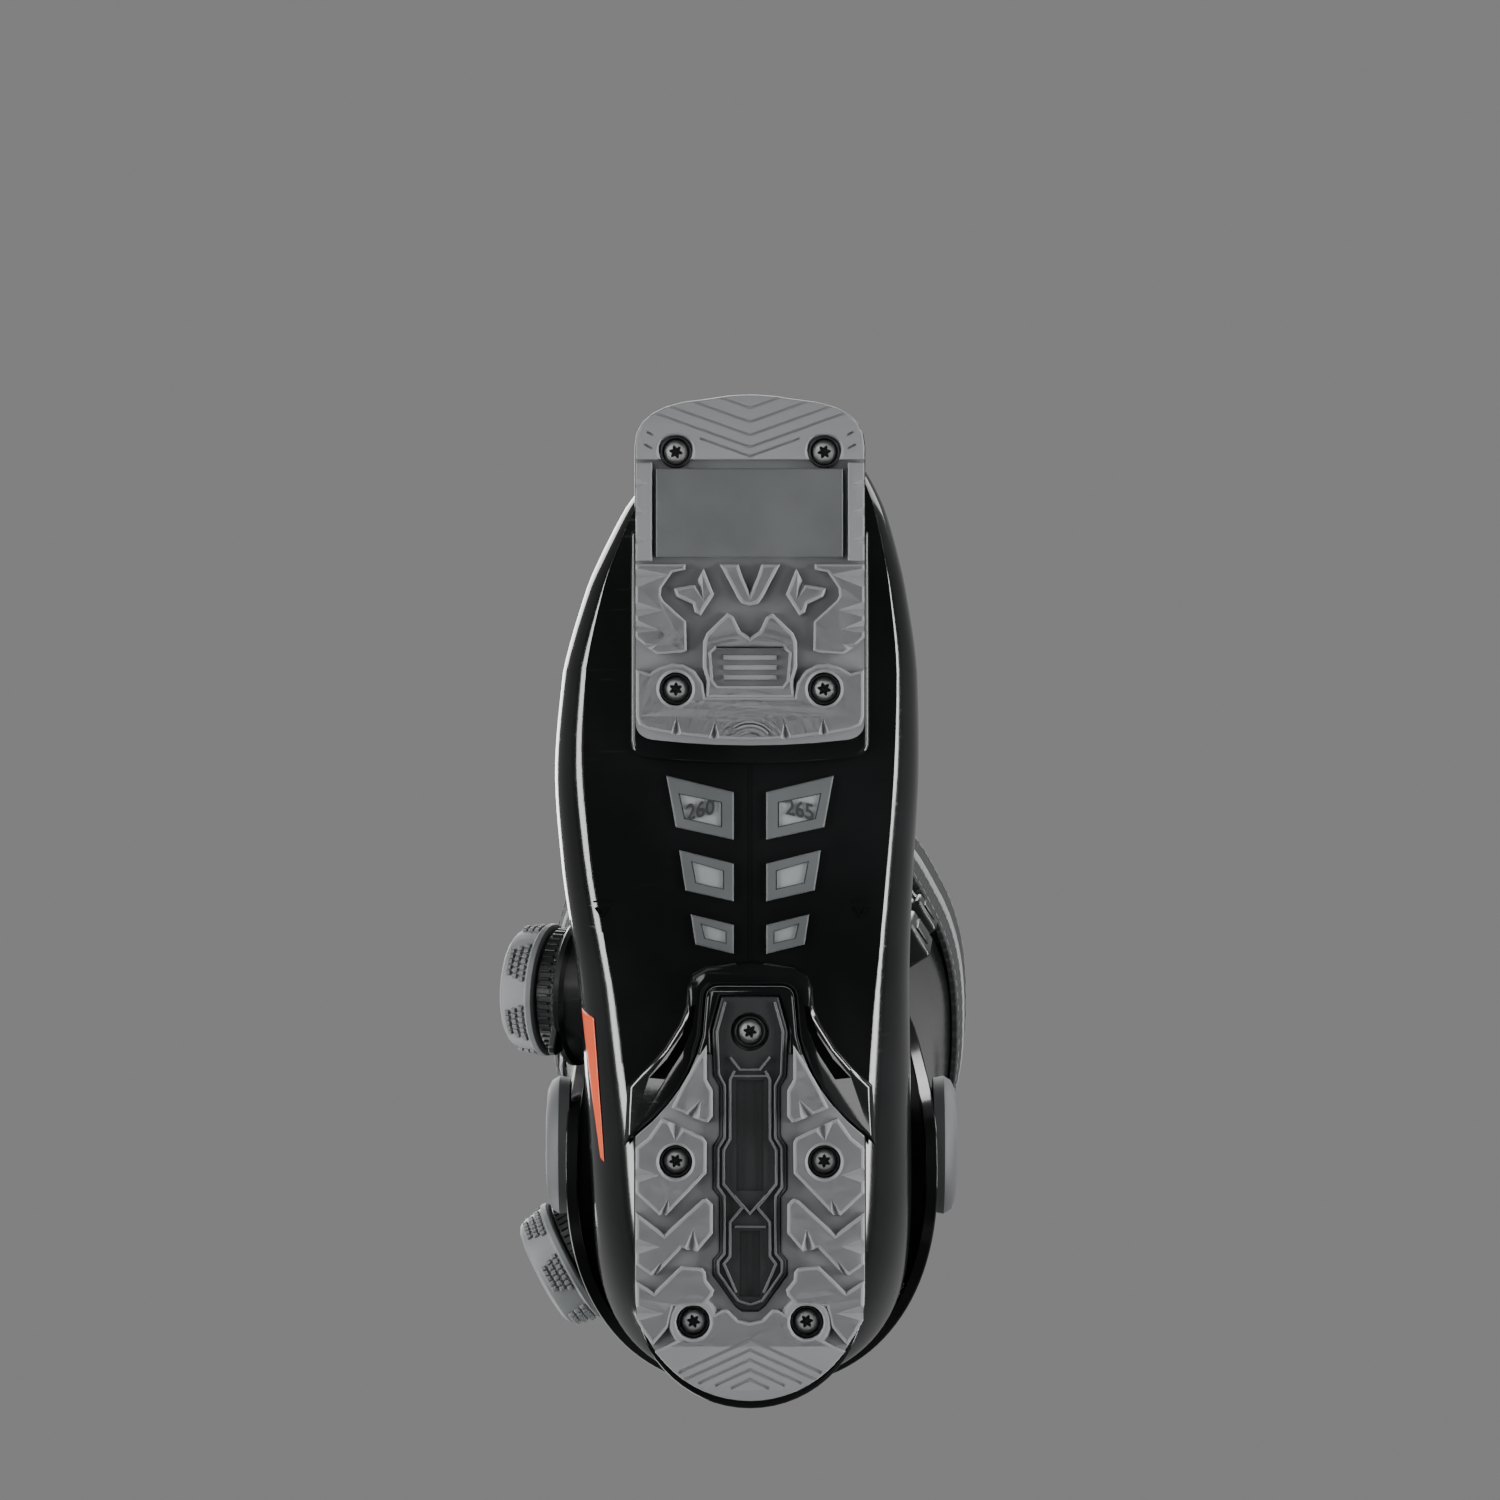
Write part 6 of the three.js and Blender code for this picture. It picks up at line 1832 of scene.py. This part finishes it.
@dataclass
class Guide:
    """A low black block that a lace turns in, with a raised lip over the cable."""

    node: str
    point: Vector
    out: Vector
    ahead: Vector
    size: tuple[float, float, float]
    body: Body

    def build(self) -> None:
        """Make the block and its lip."""
        z = self.out.normalized()
        x = (self.ahead - z * self.ahead.dot(z)).normalized()
        y = z.cross(x)
        turn = Matrix.Translation(self.point) @ Matrix((x, y, z)).transposed().to_4x4()
        length, width, height = self.size
        parts = [
            block((length, width, height + 4), turn @ Matrix.Translation((0, 0, (height - 4) / 2)), 1.5, 3),
            block((length * 0.62, width * 0.5, 1.0), turn @ Matrix.Translation((0, 0, height + 0.2)), 0.45, 2),
        ]
        Piece(f"{self.node}_block", HOUSING, self.body, "housing", (self.node,)).settle(gather(parts))


def guides() -> list[Guide]:
    """Every lace guide on the boot."""
    made = []
    for name, along, angle in (("medial_front", 0.345, 45), ("medial_rear", 0.49, 48), ("lateral", 0.452, 123)):
        ahead = FOOT.point(along + 0.01, angle) - FOOT.point(along - 0.01, angle)
        point = over_foot(along, angle, 0)
        made.append(
            Guide(f"instep_guide_{name}", point, over_foot(along, angle, 6) - point, ahead, (15, 13, 4.6), Body.LOWER)
        )
    for name, z, angle, size in (
        ("medial", 206, -55, (20, 13, 4.6)), ("lateral", 231.5, 36, (18, 13, 4.6)), ("anchor", 236, -56, (11, 12, 4.6)),
    ):
        ahead = LEG.point(z + 4, angle) - LEG.point(z - 4, angle)
        made.append(Guide(f"cuff_guide_{name}", LEG.point(z, angle), LEG.out(z, angle), ahead, size, Body.CUFF))
    return made


# ---- the studio --------------------------------------------------------------------------------------------


@dataclass(frozen=True)
class Lamp:
    """A soft rectangular light: where it stands and what it points at in metres, its size in metres, and its watts."""

    name: str
    place: tuple[float, float, float]
    aim: tuple[float, float, float]
    size: Point2
    power: float

    def build(self) -> None:
        """Make the light."""
        data = bpy.data.lights.new(self.name, "AREA")
        data.shape = "RECTANGLE"
        data.size, data.size_y = self.size
        data.energy = self.power
        lamp = link(self.name, data)
        lamp.location = self.place
        lamp.rotation_euler = (Vector(self.aim) - Vector(self.place)).to_track_quat("-Z", "Y").to_euler()
        lamp.visible_camera = False


@dataclass
class Studio:
    """A pale floor that shows only from above, soft lights, and a camera straight under the sole."""

    distance: float = 2000.0
    look_at: tuple[float, float] = (0.0, -45.6)
    frame_width: float = 450.0
    floor_size: float = 14.0
    lamps: tuple[Lamp, ...] = (
        Lamp("sole_key", (-0.75, -0.95, -1.15), (0, 0, 0), (0.9, 0.9), 2.1),
        Lamp("sole_fill", (0.95, 0.7, -1.3), (0, 0, 0), (1.0, 1.0), 1.0),
        Lamp("low_box", (-0.44, -0.4, -1.45), (0, 0, 0), (0.3, 0.3), 1.3),
        Lamp("low_side_lateral", (-1.0, 0.045, -1.12), (0, 0.045, 0), (0.36, 0.3), 2.2),
        Lamp("low_side_medial", (1.0, 0.045, -1.12), (0, 0.045, 0), (0.36, 0.3), 1.9),
        Lamp("strip_lateral", (-1.25, 0.0, -0.3), (0, 0, 0.02), (1.6, 0.26), 26),
        Lamp("strip_medial", (1.25, 0.05, -0.3), (0, 0, 0.02), (1.6, 0.26), 30),
        Lamp("top_box", (-0.5, -0.7, 1.9), (0, 0, 0.12), (1.6, 1.6), 42),
        Lamp("side_box", (1.5, -1.1, 0.9), (0, 0, 0.14), (0.9, 1.5), 18),
        Lamp("back_box", (-1.1, 1.6, 1.0), (0, 0, 0.14), (1.0, 1.3), 18),
    )

    def build(self) -> None:
        """Make the camera, the floor, the backdrop and the lights."""
        self.camera()
        self.floor()
        self.backdrop()
        self.lights()

    def camera(self) -> None:
        """The camera, looking up with the toe at the top of the picture."""
        data = bpy.data.cameras.new("camera")
        data.angle = 2 * math.atan(self.frame_width / 2 / self.distance)
        data.clip_end = 50
        camera = link("camera", data)
        place = TO_ROW @ Vector((*self.look_at, -self.distance))
        camera.matrix_world = Matrix.Translation(place) @ Matrix(((1, 0, 0), (0, -1, 0), (0, 0, -1))).to_4x4()
        bpy.context.scene.camera = camera

    def floor(self) -> None:
        """A pale floor under the boot, clear when it is looked at from below."""
        bm = bmesh.new()
        bmesh.ops.create_grid(bm, x_segments=2, y_segments=2, size=self.floor_size)
        mesh = bpy.data.meshes.new("floor")
        bm.to_mesh(mesh)
        bm.free()
        floor = link("floor", mesh)
        bench = Bench("floor_paper")
        pale = bench.mix(bench.noise(bench.place(), 2.0), (0.74, 0.74, 0.74), (0.78, 0.78, 0.78))
        bench.shade(Base_Color=pale, Roughness=0.85)
        under = bench.add("ShaderNodeNewGeometry", {}, {}, "Backfacing")
        clear = bench.add("ShaderNodeBsdfTransparent", {}, {})
        both_sides = bench.add("ShaderNodeMixShader", {}, {0: under, 1: Wire(bench, bench.shader.outputs[0]), 2: clear})
        bench.feed(bench.tree.nodes["Material Output"].inputs["Surface"], both_sides)
        mesh.materials.append(bench.material)
        floor.visible_shadow = False
        floor.visible_diffuse = False
        floor.visible_glossy = False

    def backdrop(self) -> None:
        """A pale surround, dimmer below the floor."""
        world = bpy.data.worlds.new("surround")
        bpy.context.scene.world = world
        world.use_nodes = True
        tree = world.node_tree
        ground = tree.nodes["Background"]
        where = tree.nodes.new("ShaderNodeTexCoord")
        split = tree.nodes.new("ShaderNodeSeparateXYZ")
        tree.links.new(where.outputs["Generated"], split.inputs[0])
        ramp = tree.nodes.new("ShaderNodeValToRGB")
        tree.links.new(split.outputs["Z"], ramp.inputs[0])
        ramp.color_ramp.elements[0].position = 0.0
        ramp.color_ramp.elements[0].color = (0.05, 0.05, 0.05, 1)
        ramp.color_ramp.elements[1].position = 0.12
        ramp.color_ramp.elements[1].color = (0.22, 0.22, 0.22, 1)
        tree.links.new(ramp.outputs[0], ground.inputs["Color"])
        ground.inputs["Strength"].default_value = 1.0

    def lights(self) -> None:
        """Soft boxes under the sole for the first view, and above the boot for the others."""
        for lamp in self.lamps:
            lamp.build()


def main() -> None:
    """Build the whole boot."""
    logging.basicConfig(level=logging.INFO, format="%(name)s %(message)s")
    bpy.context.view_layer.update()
    Studio().build()
    INSTEP_LACE.build()
    CUFF_LACE.build()
    ToeSole().build()
    HeelSole().build()
    LowerShell().build()
    ArchPads().build()
    Liner().build()
    Cuff().build()
    PowerStrap().build()
    Pivot(Side.LATERAL, 57.8).build()
    Pivot(Side.MEDIAL, 58.8).build()
    INSTEP_DIAL.build()
    CUFF_DIAL.build()
    for guide in guides():
        guide.build()
    dress("footboard", BOARD)
    dress("pivot_nut_lateral", DARK_STEEL)
    dress("pivot_nut_medial", DARK_STEEL)


if __name__ == "__main__":
    main()
